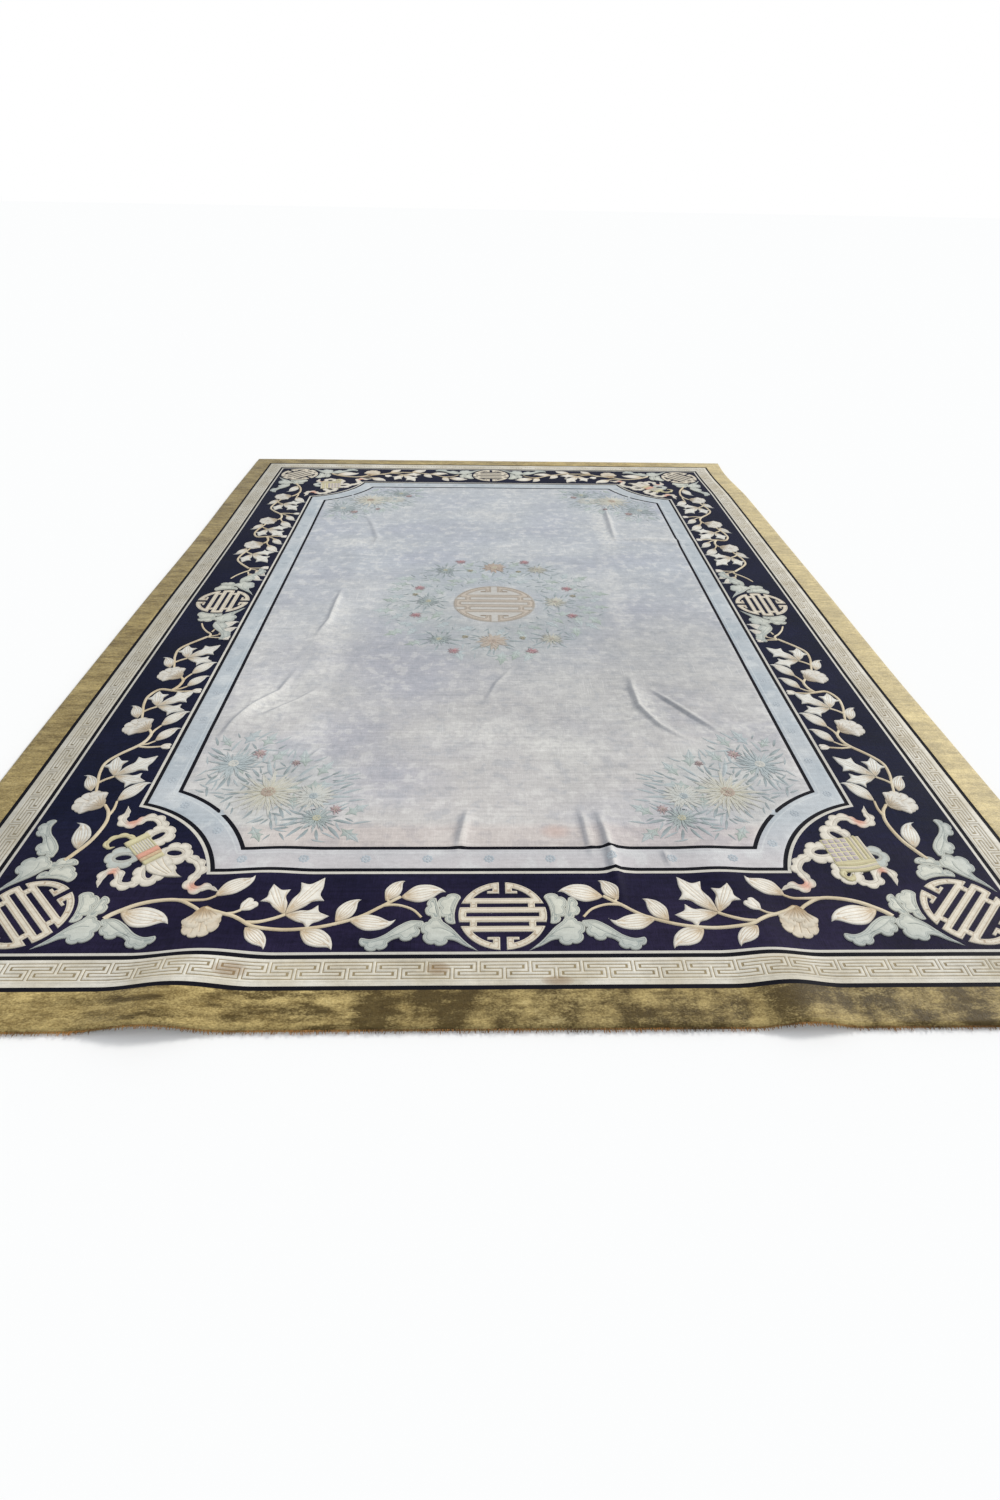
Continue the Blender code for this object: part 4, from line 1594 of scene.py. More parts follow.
def make_scrolls():
    """The scroll leaves on both sides of every roundel."""
    leaves = scroll_leaves()
    carvings = []
    for (x, y), turn in roundel_places()[:2]:
        for flip in (False, True):
            carvings += group(leaves, at=(x, y), turn=180 * flip + turn, flip=flip)
    for (x, y), turn in roundel_places()[2:4]:
        outward = x > 0
        for end in (0, 1):
            carvings += group(leaves, at=(x, y), turn=90 + 180 * end, flip=outward != bool(end))
    for (x, y), _ in roundel_places()[4:]:
        side_x, side_y = (1 if x > 0 else -1), (1 if y > 0 else -1)
        for shape in leaves:
            along_end = shape.mirrored(-1, 1)
            along_side = along_end.placed(turn=-90).mirrored(1, -1)
            for copy in (along_end, along_side):
                carvings.append(copy.mirrored(-side_x, -side_y).placed((x, y)))
    silk = carved_silk("scroll_silk", SCROLL_CONTOURS, "#828d8b", 0.70, 0.6)
    return build("border_scrolls", carvings, silk)


def make_leaves():
    silk = carved_silk("leaf_silk", (0.0030,), "#b59c78", 0.30, 0.60)
    return build("border_leaves", all_quarters(quarter_leaves()), silk)


# Stems: half width and height of a vine whose taper says 1, and the step of its line

VINE_HALF_WIDTH = 0.004 / 3.7
VINE_HEIGHT = 0.0024 / 3.7
VINE_STEP = 0.010


def tapered(points, start, end):
    """A smooth line, and its widths from start to end, as multiples of a vine's smallest."""
    line = smooth(points, VINE_STEP)
    return line, np.linspace(start, end, len(line))


def quarter_stems():
    """The vines of half the near border and half the left border."""
    stems = [
        tapered(
            ((-0.204, -1.820), (-0.228, -1.794), (-0.266, -1.779), (-0.300, -1.780), (-0.318, -1.789)),
            3.0, 4.0),
        tapered(
            ((-0.262, -1.750), (-0.312, -1.786), (-0.356, -1.816), (-0.404, -1.836), (-0.460, -1.851),
             (-0.524, -1.858), (-0.580, -1.858), (-0.620, -1.853), (-0.645, -1.838), (-0.672, -1.823),
             (-0.700, -1.813), (-0.728, -1.801), (-0.750, -1.790)), 4.2, 5.2),
        tapered(((-0.288, -1.772), (-0.294, -1.762), (-0.298, -1.752)), 3.6, 3.0),
        tapered(((-0.638, -1.843), (-0.606, -1.839), (-0.572, -1.825), (-0.546, -1.810)), 4.6, 4.0),
        tapered(((-0.694, -1.815), (-0.672, -1.812), (-0.656, -1.803)), 3.6, 3.4),
        tapered(((-0.826, -1.759), (-0.790, -1.760), (-0.756, -1.759), (-0.734, -1.748)), 4.4, 3.4),
        tapered(
            ((-0.765, -1.796), (-0.786, -1.780), (-0.826, -1.760), (-0.876, -1.761), (-0.924, -1.774),
             (-0.962, -1.796), (-0.980, -1.809), (-0.992, -1.822)), 4.4, 6.4),
        # Left border, from the side roundel to the corner's
        tapered(
            ((-1.212, -0.226), (-1.196, -0.262), (-1.172, -0.296), (-1.150, -0.318), (-1.150, -0.345)),
            3.2, 4.6),
        tapered(((-1.150, -0.300), (-1.148, -0.290), (-1.146, -0.280)), 3.4, 3.0),
        tapered(((-1.150, -0.334), (-1.136, -0.332), (-1.118, -0.324)), 3.4, 3.0),
        tapered(((-1.152, -0.345), (-1.130, -0.346), (-1.104, -0.348)), 3.6, 3.2),
    ]
    x, junction = SIDE_PEONY_X, (-1.156, -0.341)
    for y in SIDE_PEONIES:
        stems += [
            tapered(
                (junction, (x - 0.008, y + 0.234), (x - 0.033, y + 0.190), (x - 0.031, y + 0.138),
                 (x - 0.018, y + 0.090), (x - 0.004, y + 0.040)), 5.4, 3.8),
            tapered(((x - 0.019, y + 0.088), (x - 0.002, y + 0.106), (x + 0.020, y + 0.122)), 4.2, 3.8),
        ]
        if y > SIDE_PEONIES[-1]:
            junction = (x + 0.036, y - 0.111)
            stems += [
                tapered(
                    ((x + 0.042, y - 0.018), (x + 0.056, y - 0.042), (x + 0.054, y - 0.074),
                     (x + 0.046, y - 0.096), junction), 4.4, 5.8),
                tapered(((x + 0.056, y - 0.046), (x + 0.060, y - 0.022), (x + 0.073, y + 0.006)), 4.0, 3.2),
                tapered(((x + 0.044, y - 0.104), (x + 0.062, y - 0.100), (x + 0.083, y - 0.083)), 3.8, 3.0),
                tapered(((x + 0.034, y - 0.112), (x + 0.070, y - 0.118), (x + 0.110, y - 0.114)), 4.4, 3.4),
            ]
    stems += [
        tapered(((-1.160, -1.384), (-1.138, -1.416), (-1.127, -1.464), (-1.138, -1.536), (-1.164, -1.592),
                 (-1.177, -1.616)), 4.4, 6.0),
        tapered(((-1.132, -1.436), (-1.127, -1.404), (-1.131, -1.368)), 4.4, 3.2),
    ]
    return stems


def make_stems(tree):
    """All the vines, in the near left quarter and its mirror images."""
    silk = plain_silk("stem_silk", "#dccfb4", "#c7b492")
    values = {
        "Half Width": VINE_HALF_WIDTH, "Height": VINE_HEIGHT, "Sides": 10, "Count": 1, "Pitch": 0.0,
        "Material": silk,
    }
    grown = tree.grown_from(edge_mesh(quarter_stems()), values)
    parts = [(grown, mirroring(*signs)) for signs in QUARTERS]
    piece = laid_piece("vine_stems", parts, silk)
    face_outward(piece.data)
    return piece


def face_outward(mesh):
    """Turns the faces of closed shells, some of them mirrored, to point outward."""
    shells = bmesh.new()
    shells.from_mesh(mesh)
    bmesh.ops.recalc_face_normals(shells, faces=shells.faces)
    shells.to_mesh(mesh)
    shells.free()


# The fretwork: columns of its grid in one repeat, a ridge's half width in rows, and its height. Its bands
# are a little lower than the T shapes that end on them, and all of it has flat tops.

FRET_PERIOD = 13
RIDGE_SHARE = 0.37
FRET_RELIEF = 0.0014
BAND_RELIEF = 0.88 * FRET_RELIEF
FLAT_TOP = 0.87 * FRET_RELIEF
FRET_STEP = 0.026
SQUARE_CORNER = math.sqrt(2)


def angular(points, scale, closed_line=False):
    """A line of straight stretches on the fret's grid, and its widths, larger at the corners."""
    points = [np.array(p, float) * scale for p in points]
    ends = points[1:] + ([points[0]] if closed_line else [])
    line, widths = [], []
    for start, end in zip(points, ends):
        stretch = run(start, end, FRET_STEP)
        line.append(stretch)
        widths += [SQUARE_CORNER] + [1.0] * (len(stretch) - 1)
    if not closed_line:
        line.append(points[-1:])
        widths.append(1.0)
        widths[0] = 1.0
    return np.vstack(line), np.array(widths)


def fret_side(length):
    """One side's repeat, from the middle of one T to the next: its lines, their count and pitch."""
    count = round(length / (FRET_PERIOD * FRET_ROW))
    pitch = length / count
    scale = (pitch / FRET_PERIOD, FRET_ROW)
    flat_top = 0.5 * RIDGE_SHARE
    shapes = (
        ((0, flat_top), (0, 4 - flat_top)),
        ((0, 4), (4.5, 4)),
        ((8.5, 4), (13, 4)),
        ((6.5, 6 - flat_top), (6.5, 2 + flat_top)),
        ((2, 2), (11, 2)),
        ((13, 5), (7.5, 5), (7.5, 3), (12, 3), (12, 1), (1, 1), (1, 3), (5.5, 3), (5.5, 5), (0, 5)),
    )
    return [angular(shape, scale) for shape in shapes], count, pitch


def fret_frame():
    """The closed lines of the fretwork's edges and corners, and the open ones of its corners."""
    rings, dividers = [], []
    for inset in (FRET_START, FRET_END):
        edge = np.array(CORNERS) * (HALF_WIDTH - inset, HALF_LENGTH - inset)
        rings.append(angular(edge, 1.0, True))
    first, last = FRET_START + 0.5 * RIDGE_SHARE * FRET_ROW, FRET_END - 0.5 * RIDGE_SHARE * FRET_ROW
    for corner in CORNERS:
        for rows in (1, 2):
            a, b = FRET_START + rows * FRET_ROW, FRET_END - rows * FRET_ROW
            box = np.array((HALF_WIDTH, HALF_LENGTH)) - ((a, a), (a, b), (b, b), (b, a))
            rings.append(angular(box * corner, 1.0, True))
        for insets in (((FRET_END, first), (FRET_END, last)), ((first, FRET_END), (last, FRET_END))):
            ends = np.array((HALF_WIDTH, HALF_LENGTH)) - insets
            dividers.append(angular(ends * corner, 1.0))
    return rings, dividers


def side_placing(turned, half_turn, half_across, length):
    """A placing that puts one side's repeats, drawn along X, on an end or, turned, on a side."""

    def placing(flat):
        along = flat[:, 0] - 0.5 * length
        inward = flat[:, 1] + FRET_START - half_across
        x, y = (-inward, along) if turned else (along, inward)
        return np.column_stack((x, y)) * (-1 if half_turn else 1)

    return placing


def make_fretwork(tree, silk):
    """Cream ridges of T shapes between two plain bands, all round the rug."""
    base = {"Half Width": RIDGE_SHARE * FRET_ROW, "Height": FRET_RELIEF, "Sides": 6, "Material": silk}
    sides = ((False, HALF_WIDTH, HALF_LENGTH), (True, HALF_LENGTH, HALF_WIDTH))
    parts = []
    for turned, half_side, half_across in sides:
        length = 2 * (half_side - FRET_END)
        lines, count, pitch = fret_side(length)
        grown = tree.grown_from(edge_mesh(lines), base | {"Count": count, "Pitch": pitch})
        for half_turn in (False, True):
            parts.append((grown, side_placing(turned, half_turn, half_across, length)))
    bands = base | {"Height": BAND_RELIEF, "Count": 1, "Pitch": 0.0}
    rings, dividers = fret_frame()
    parts.append((tree.grown_from(edge_mesh(rings, rings=True), bands), AS_DRAWN))
    parts.append((tree.grown_from(edge_mesh(dividers), bands), AS_DRAWN))
    piece = laid_piece("fret_ridges", parts, silk, FLAT_TOP)
    face_outward(piece.data)
    return piece


# Rosettes in the pale band: their line's inset, their distance along it, and their size

ROSETTE_INSET = 0.524
ROSETTE_SPACING = 0.168
ROSETTE_RADIUS = 0.0155
ROSETTE_HEIGHT = 0.0009


def make_rosettes():
    """Small rosettes at even distances along the pale band."""
    frame_line = notched_frame(ROSETTE_INSET, 0.01)
    frame_line = np.vstack((frame_line, frame_line[:1]))
    steps = np.linalg.norm(np.diff(frame_line, axis=0), axis=1)
    travelled = np.concatenate(((0.0,), np.cumsum(steps)))
    count = round(travelled[-1] / ROSETTE_SPACING)
    stops = (np.arange(count) + 0.5) * travelled[-1] / count
    centres = np.column_stack([np.interp(stops, travelled, frame_line[:, i]) for i in (0, 1)])
    silk = plain_silk("rosette_silk", "#b2b9be", "#a8b0b6")
    values = {"Petals": 8, "Radius": ROSETTE_RADIUS, "Height": ROSETTE_HEIGHT, "Material": silk}
    grown = rosette_tree().grown_from(edge_mesh([(centres, np.ones(count))]), values)
    return laid_piece("band_rosettes", [(grown, AS_DRAWN)], silk)


# Stubble of cut pile: which end, and the seed of its tufts' angles; distance of the rows from the rug's
# sides and ends; height of the tufts' middles, and the least height of a tuft

STUBBLE_ENDS = ((1, 5), (-1, 11))
STUBBLE_SIDE_INSET = 0.003
STUBBLE_END_INSET = 0.002
STUBBLE_RISE = 0.55 * THICKNESS
STUBBLE_FLOOR = 0.0005


def make_stubble():
    """Brown and orange tufts that stick out of the near and far ends."""
    count = int(2 * HALF_WIDTH / TUFT_SPACING)
    x = np.linspace(-HALF_WIDTH + STUBBLE_SIDE_INSET, HALF_WIDTH - STUBBLE_SIDE_INSET, count)
    row = edge_mesh([(np.column_stack((x, 0.0 * x)), np.ones(count))])
    silk = plain_silk("stubble_silk", "#a8763c", "#5e4524", blotch=0.5, grain=0.5)
    tree = stubble_tree()
    parts = []
    for end, seed in STUBBLE_ENDS:
        values = {"Length": TUFT_LENGTH, "Radius": TUFT_RADIUS, "Seed": seed, "Material": silk}
        grown = tree.grown_from(row, values)
        points = mesh_points(grown)
        flat = np.column_stack((points[:, 0], points[:, 1] - HALF_LENGTH + STUBBLE_END_INSET)) * end
        height = ripple_height(flat) + np.maximum(points[:, 2] + STUBBLE_RISE, STUBBLE_FLOOR)
        parts.append((np.column_stack((drawn_in(flat), height)), mesh_faces(grown)))
    piece = add_mesh("edge_stubble", *joined(parts), [silk], smooth_shaded=False)
    return finish_piece(piece)


# Ribboned emblems in the corners

EMBLEM_CONTOURS = (0.0042,)
SCALLOP = 0.027
SCALLOP_RISE = 0.0092
RIBBON_HALF_WIDTH = 0.0125
RIBBON_STEP = 0.0025
LOOP_EYELET = np.array((0.044, 0.001))


def ribbon_tail(path, half_width=RIBBON_HALF_WIDTH, dye=WHITE, bend_dye=CORAL, bend_at=0.6):
    """A ribbon along its path to a pointed end, scalloped most on the outer side of its bends."""
    line = smooth(path, RIBBON_STEP)
    share = np.linspace(0.0, 1.0, len(line))
    way = np.gradient(line, axis=0)
    steps = np.linalg.norm(way, axis=1)
    turning = np.gradient(np.unwrap(np.arctan2(way[:, 1], way[:, 0]))) / steps
    turning = np.convolve(np.pad(turning, 6, "edge"), np.ones(13) / 13, "valid")
    normal = np.column_stack((-way[:, 1], way[:, 0])) / steps[:, None]
    taper = np.interp(share, (0.0, 0.08, 0.80, 1.0), (0.75, 1.0, 0.85, 0.04))
    scallops = np.abs(np.sin(np.pi * np.cumsum(steps) / SCALLOP))
    scallops = scallops * SCALLOP_RISE * half_width / RIBBON_HALF_WIDTH
    sides = []
    for side in (-1, 1):
        outer = np.clip(0.45 - side * 0.022 * turning, 0.08, 1.0)
        sides.append(line + side * normal * (taper * (half_width + outer * scallops))[:, None])
    outline = np.vstack((sides[0], sides[1][::-1][1:]))

    inner = -np.sign(turning[int(bend_at * len(line))])

    def tint(points):
        nearest = np.argmin(((points[:, None, :] - line[None]) ** 2).sum(2), axis=1)
        aside = ((points - line[nearest]) * normal[nearest]).sum(1) * -inner / half_width
        from_bend = np.abs(share[nearest] - bend_at) / 0.12
        return blend(1.0 - from_bend + 0.5 * np.clip(aside, -1.0, 1.0), dye, bend_dye)

    contours = EMBLEM_CONTOURS if half_width > 0.009 else ()
    return carve([outline], [line[4:-10]], dye=tint, contours=contours)


def ribbon_loop(dye=WHITE):
    """A bow loop along X with five round lobes and an eyelet."""
    lower = smooth(((0.0, -0.010), (0.008, -0.018), (0.016, -0.022)))
    rim = (
        (0.016, -0.022), (0.046, -0.037), (0.081, -0.021), (0.081, 0.020), (0.047, 0.037), (0.016, 0.023),
    )
    upper = smooth(((0.016, 0.023), (0.008, 0.018), (0.0, 0.010)))
    outline = closed(lower, lobes(rim, 0.34), upper, straight(((0.0, 0.010), (0.0, -0.010))))
    eyelet = LOOP_EYELET + arc((0.0, 0.0), 0.0100, 0, 360)[:-1] * (2.1, 1.0)
    rib = LOOP_EYELET + arc((0.0, 0.0), 0.0190, -160, 160) * (1.5, 1.0)
    return carve([outline, eyelet], [rib], dye=dye, contours=EMBLEM_CONTOURS)


def bar(low, high, dye, relief=RELIEF):
    """A rectangular carving between two corners."""
    return carve([box_outline(low, high)], relief=relief, dye=dye)


def rolled_scroll():
    """A rolled scroll along X: its roll, pleated leaves, a band, a collar and a leafy end."""
    pieces = [
        bar((0.0, -0.034), (0.023, 0.034), YELLOW),
        bar((0.022, -0.0300), (0.070, 0.0300), YELLOW, 0.4 * RELIEF),
    ]
    pleats = 9
    for i in range(pleats):
        low = -0.0315 + 0.063 * i / pleats
        pieces.append(bar((0.0236, low), (0.0690, low + 0.0062), YELLOW if i in (0, pleats - 1) else WHITE))
    pieces.append(bar((0.0694, -0.0315), (0.0895, 0.0315), CORAL))
    pieces.append(bar((0.0899, -0.0300), (0.1030, 0.0300), blend(np.array([0.6]), CORAL, YELLOW)[0]))
    pieces.append(bar((0.1034, -0.0290), (0.1220, 0.0290), YELLOW))
    end = closed(
        smooth(((0.122, -0.026), (0.146, -0.033), (0.178, -0.022), (0.204, -0.002), (0.228, 0.024))),
        smooth(((0.228, 0.024), (0.208, 0.021), (0.192, 0.024))),
        lobes(((0.192, 0.024), (0.168, 0.026), (0.146, 0.035), (0.122, 0.027)), 0.28),
        straight(((0.122, 0.027), (0.122, -0.026))),
    )
    ribs = [smooth(((0.128, y), (0.156, 0.7 * y), (0.196, 0.35 * y + 0.006))) for y in (-0.016, 0.0, 0.018)]
    pieces.append(carve([end], ribs, dye=WHITE, contours=EMBLEM_CONTOURS))
    return pieces


def lattice_block():
    """An upright lattice of small squares with ribs on one side and curved mouldings under it."""
    pieces = [
        bar((-0.062, -0.046), (0.056, 0.050), YELLOW, 0.4 * RELIEF),
        carve([closed(
            straight(((-0.062, -0.042), (-0.058, -0.075))),
            smooth(((-0.058, -0.075), (0.0, -0.083), (0.056, -0.076))),
            straight(((0.056, -0.076), (0.060, -0.042), (-0.062, -0.042))),
        )], relief=0.4 * RELIEF, dye=YELLOW),
    ]
    columns, rows = 4, 5
    for column in range(columns):
        for row in range(rows):
            x = -0.0175 + 0.0182 * column
            y = -0.0400 + 0.0178 * row
            pieces.append(bar((x, y), (x + 0.0158, y + 0.0152), LAVENDER))
    for rib in range(4):
        x = -0.0610 + 0.0106 * rib
        rise = 0.008 * math.sin(math.pi * (rib + 0.5) / 4)
        pieces.append(bar((x, -0.0425), (x + 0.0094, 0.046 + rise), YELLOW if rib % 2 else WHITE))
    for row in range(3):
        top = -0.0450 - 0.0118 * row
        upper = smooth(((0.058, top), (0.0, top - 0.007), (-0.060, top)))
        lower = smooth(((-0.060, top - 0.0098), (0.0, top - 0.0168), (0.058, top - 0.0098)))
        moulding = closed(upper, straight((upper[-1], lower[0])), lower, straight((lower[-1], upper[0])))
        pieces.append(carve([moulding], dye=YELLOW if row % 2 == 0 else WHITE))
    foot = arc((0.044, -0.092), 0.0125, -200, 90)
    pieces.append(ribbon_tail(foot[::-1], 0.0070, YELLOW, YELLOW).placed(lift=0.0004))
    return pieces


SCROLL_LEAN = -47
SCROLL_TOP = (-1.018, -1.528)
BLOCK_PLACE = (-0.964, -1.582)

RIBBON_LOOPS = (
    ((-0.990, -1.552), 46, WHITE),
    ((-0.936, -1.584), -6, WHITE),
    ((-0.948, -1.620), -74, WHITE),
    ((-0.980, -1.602), 184, CELADON),
)
UPPER_TAIL = (
    (-0.974, -1.508), (-0.964, -1.476), (-0.984, -1.448), (-1.014, -1.444), (-1.038, -1.462),
    (-1.064, -1.470), (-1.084, -1.450), (-1.082, -1.420), (-1.090, -1.388),
)
INNER_TAIL = (
    (-0.868, -1.592), (-0.842, -1.608), (-0.818, -1.624), (-0.804, -1.652), (-0.812, -1.680),
    (-0.816, -1.706), (-0.796, -1.722), (-0.764, -1.716), (-0.730, -1.734),
)
LOWER_TAIL = (
    (-0.950, -1.694), (-0.980, -1.708), (-1.004, -1.700), (-1.010, -1.676), (-1.026, -1.656),
    (-1.048, -1.662), (-1.054, -1.686), (-1.050, -1.718),
)
HANDLE = (
    (-1.020, -1.530), (-1.050, -1.518), (-1.078, -1.528), (-1.090, -1.550), (-1.078, -1.568),
    (-1.062, -1.562),
)


def make_emblems():
    """A rolled scroll in two corners and a lattice in the other two, each tied with ribbons."""
    ribbons = [ribbon_loop(dye).placed(place, turn) for place, turn, dye in RIBBON_LOOPS]
    ribbons += [
        ribbon_tail(UPPER_TAIL, bend_at=0.55).placed(lift=-0.0004),
        ribbon_tail(INNER_TAIL, bend_at=0.66).placed(lift=-0.0004),
        ribbon_tail(LOWER_TAIL, 0.0112, bend_at=0.60).placed(lift=-0.0004),
    ]
    scroll = group(rolled_scroll(), at=SCROLL_TOP, turn=SCROLL_LEAN, lift=0.0022)
    scroll.append(ribbon_tail(HANDLE, 0.0068, YELLOW, YELLOW).placed(lift=0.0004))
    block = group(lattice_block(), at=BLOCK_PLACE, turn=-8, lift=0.0022)
    objects = []
    for shapes, corners in ((scroll, ((1, 1), (-1, -1))), (block, ((-1, 1), (1, -1)))):
        objects += [shape.mirrored(*corner) for shape in shapes for corner in corners]
    silk = carved_silk("emblem_silk", (0.0030,), "#b0986c", 0.35, 0.5)
    ribbon_silk = carved_silk("ribbon_silk", (0.0036,), "#a99c8c", 0.6)
    return [
        build("emblem_ribbons", all_quarters(ribbons), ribbon_silk),
        build("emblem_objects", objects, silk),
    ]


# The field's roundel, blossoms and leaves, all in low relief

FIELD_ROUNDEL = 0.352
FIELD_TAN = linear("#b8ada0")
FIELD_DISC = linear("#bab7b1")
FIELD_ORANGE = linear("#b5a292")
FIELD_PINK = linear("#c38084")
FIELD_PALE_PINK = linear("#c9aeb0")
FIELD_YELLOW = linear("#c6c0a4")
FIELD_CREAM = linear("#d0cec5")
FIELD_BLUE = linear("#a8b2b5")
FIELD_GREEN = linear("#a4afa5")
FIELD_DARK = linear("#828d8b")
FIELD_GREY = linear("#b9c1c1")
FIELD_SHADOW = linear("#59616b")

# A blade's cross-section from its left to its right: share of the half width, share of the relief
BLADE_STATIONS = 6
BLADE_ACROSS = ((1.0, None), (0.6, 1.0), (0.0, 0.60), (-0.6, 1.0), (-1.0, None))


def blade(length, half_width, sway=0.0, base_dye=FIELD_YELLOW, dye=FIELD_CREAM, relief=FIELD_RELIEF):
    """A thin pointed petal along X with a groove down its middle, bent to the left by its sway."""
    share = np.linspace(0.0, 1.0, BLADE_STATIONS)
    half = half_width * length * np.sin(np.pi * share**0.8)
    flat, rise, edge, vein = [(0.0, 0.0)], [0.0], [0.0], [0.0]
    for along, wide in zip(share[1:-1], half[1:-1]):
        for side, high in BLADE_ACROSS:
            flat.append((along * length, sway * length * along**2 + side * wide))
            rise.append(SUNK if high is None else relief * high)
            edge.append(0.0 if high is None else wide * (1.0 - abs(side)))
            vein.append(abs(side) * wide)
    flat.append((length, sway * length))
    rise.append(0.0)
    edge.append(0.0)
    vein.append(0.0)
    flat, around = np.array(flat), len(BLADE_ACROSS)
    faces, last = [], len(flat) - 1
    for k in range(around):
        after = (k + 1) % around
        faces.append((0, 1 + after, 1 + k))
        faces.append((last - around + k, last - around + after, last))
        for start in range(1, last - around, around):
            faces.append((start + k, start + after, start + after + around, start + k + around))
    colours = dyed_along(0.8 * length, base_dye, dye)(flat)
    return Carving(flat, faces, np.array(rise), np.array(edge), np.array(vein), colours)


# Rounds of a chrysanthemum: reach of its petals, how many of them, and their half width
MUM_ROUNDS = ((1.0, 1.0, 0.070), (0.83, 0.9, 0.082), (0.65, 0.8, 0.098), (0.47, 0.65, 0.120))


def mum(radius, petals, dye, tip_dye, heart_dye, seed=3, plump=1.0):
    """Rounds of slender petals, bent by chance, about a small heart."""
    chance = random.Random(seed)
    flower = []
    for level, (reach, share, half_width) in enumerate(MUM_ROUNDS):
        count = round(petals * share)
        for i in range(count):
            length = radius * reach * chance.uniform(0.86, 1.03)
            petal = blade(length, plump * half_width, chance.uniform(-0.22, 0.22), dye, tip_dye)
            turn = 360 * (i + 0.5 * level) / count + chance.uniform(-5, 5)
            flower.append(petal.placed(turn=turn, lift=0.0005 * level + 0.0003 * (i % 2)))
    return flower + group(flower_heart(0.20 * radius, heart_dye), lift=0.0020)


def cut_leaf(dye, tip_dye, relief=LEAF_RELIEF):
    """A leaf along X, cut into five points."""
    below = (
        ((0.0, 0.0), (0.014, -0.006), (0.024, -0.012), (0.034, -0.030)),
        ((0.034, -0.030), (0.040, -0.016), (0.050, -0.014), (0.066, -0.026)),
        ((0.066, -0.026), (0.068, -0.013), (0.080, -0.008), (0.104, -0.002)),
    )
    above = (
        ((0.104, -0.002), (0.082, 0.009), (0.070, 0.013), (0.068, 0.026)),
        ((0.068, 0.026), (0.052, 0.014), (0.042, 0.016), (0.036, 0.031)),
        ((0.036, 0.031), (0.026, 0.012), (0.014, 0.006), (0.0, 0.0)),
    )
    veins = [smooth(points) for points in (
        ((0.006, 0.0), (0.050, 0.0), (0.094, -0.001)),
        ((0.018, -0.002), (0.026, -0.012), (0.033, -0.024)),
        ((0.018, 0.002), (0.027, 0.012), (0.034, 0.025)),
        ((0.046, -0.001), (0.056, -0.010), (0.063, -0.020)),
        ((0.046, 0.001), (0.057, 0.010), (0.065, 0.020)),
    )]
    outline = closed(*(smooth(points) for points in below + above))
    return carve([outline], veins, relief, rows=RIM_ROWS[:1], dye=dyed_along(0.08, dye, tip_dye))


class Foliage:
    """Leaves strewn by chance, none of them over another or too near the black line."""

    CELL = 0.0045
    MARGIN = 0.014

    def __init__(self, seed):
        self.chance = random.Random(seed)
        self.taken = set()
        self.leaves = []

    def add(self, leaf, force=False):
        if frame_inset(leaf.flat).min() < FIELD_GUARD + self.MARGIN:
            return
        cells = set(map(tuple, np.floor(leaf.flat / self.CELL).astype(int)))
        if force or not cells & self.taken:
            self.taken |= cells
            self.leaves.append(leaf)

    def add_beside(self, kinds, bloom, count, share, wander, sizes):
        """Leaves round a bloom, at a share of its radius, each turned a little by chance."""
        place, radius = bloom
        for i in range(count):
            turn = 360 * i / count + self.chance.uniform(-wander, wander)
            at = np.array(place) + share * radius * direction(turn)
            self.add(kinds[i % 2].placed(at, turn, self.chance.uniform(*sizes)))

    def strew(self, kinds, centre, near, far, tries, sizes):
        """Tries leaves between two distances from the centre, most of them pointing outward."""
        for _ in range(tries):
            angle, reach = self.chance.uniform(0, 360), self.chance.uniform(near, far)
            turn = angle + self.chance.uniform(-70, 70)
            kind = self.chance.choice(kinds)
            at = np.array(centre) + reach * direction(angle)
            self.add(kind.placed(at, turn, self.chance.uniform(*sizes)))


def leaf_kinds():
    """Pale cut leaves in three dyes, slim pale blades and small dark ones."""
    dyes = ((FIELD_GREEN, FIELD_GREY), (FIELD_BLUE, FIELD_GREY), (FIELD_GREY, FIELD_GREEN))
    pale = [cut_leaf(*pair) for pair in dyes]
    slim = [blade(0.070, 0.10, sway, FIELD_BLUE, FIELD_GREY, LEAF_RELIEF) for sway in (-0.2, 0.2)]
    dark = [blade(0.052, 0.13, sway, FIELD_DARK, FIELD_BLUE, LEAF_RELIEF) for sway in (-0.15, 0.1)]
    return pale, slim, dark


def make_field_roundel():
    """A longevity sign on a disc that is raised a little less."""
    round_line = arc((0.0, 0.0), 0.5 * FIELD_ROUNDEL + 0.004, 0, 360)[:-1]
    disc = carve([round_line], relief=0.0006, dye=FIELD_DISC)
    sign = roundel(FIELD_ROUNDEL, FIELD_RELIEF, FIELD_ROUNDEL_CONTOURS, FIELD_TAN)
    carvings = [disc.placed(FIELD_MIDDLE), sign.placed(FIELD_MIDDLE)]
    silk = carved_silk("field_roundel_silk", FIELD_ROUNDEL_CONTOURS, "#7f7263", 0.85, 0.5)
    return build("field_roundel", carvings, silk)


# The ring round the roundel: place and radius of its blooms, and places of its small ones
RING_BLOOMS = {
    "top": ((0.004, 0.367), 0.064),
    "bottom": ((-0.010, -0.368), 0.076),
    "left": ((-0.290, -0.004), 0.062),
    "right": ((0.268, -0.004), 0.062),
    "far_left": ((-0.227, 0.332), 0.056),
    "far_right": ((0.207, 0.346), 0.056),
    "near_left": ((-0.227, -0.352), 0.058),
    "near_right": ((0.228, -0.346), 0.058),
}
RING_PINKS = (
    (-0.336, 0.135), (0.330, 0.135), (-0.336, -0.137), (0.330, -0.137),
    (-0.164, -0.448), (0.144, -0.448), (-0.157, 0.437), (0.151, 0.437),
)
RING_BUDS = (
    (-0.110, 0.330), (0.118, 0.322), (-0.352, 0.066), (0.352, 0.060), (-0.122, -0.330), (0.112, -0.338),
)


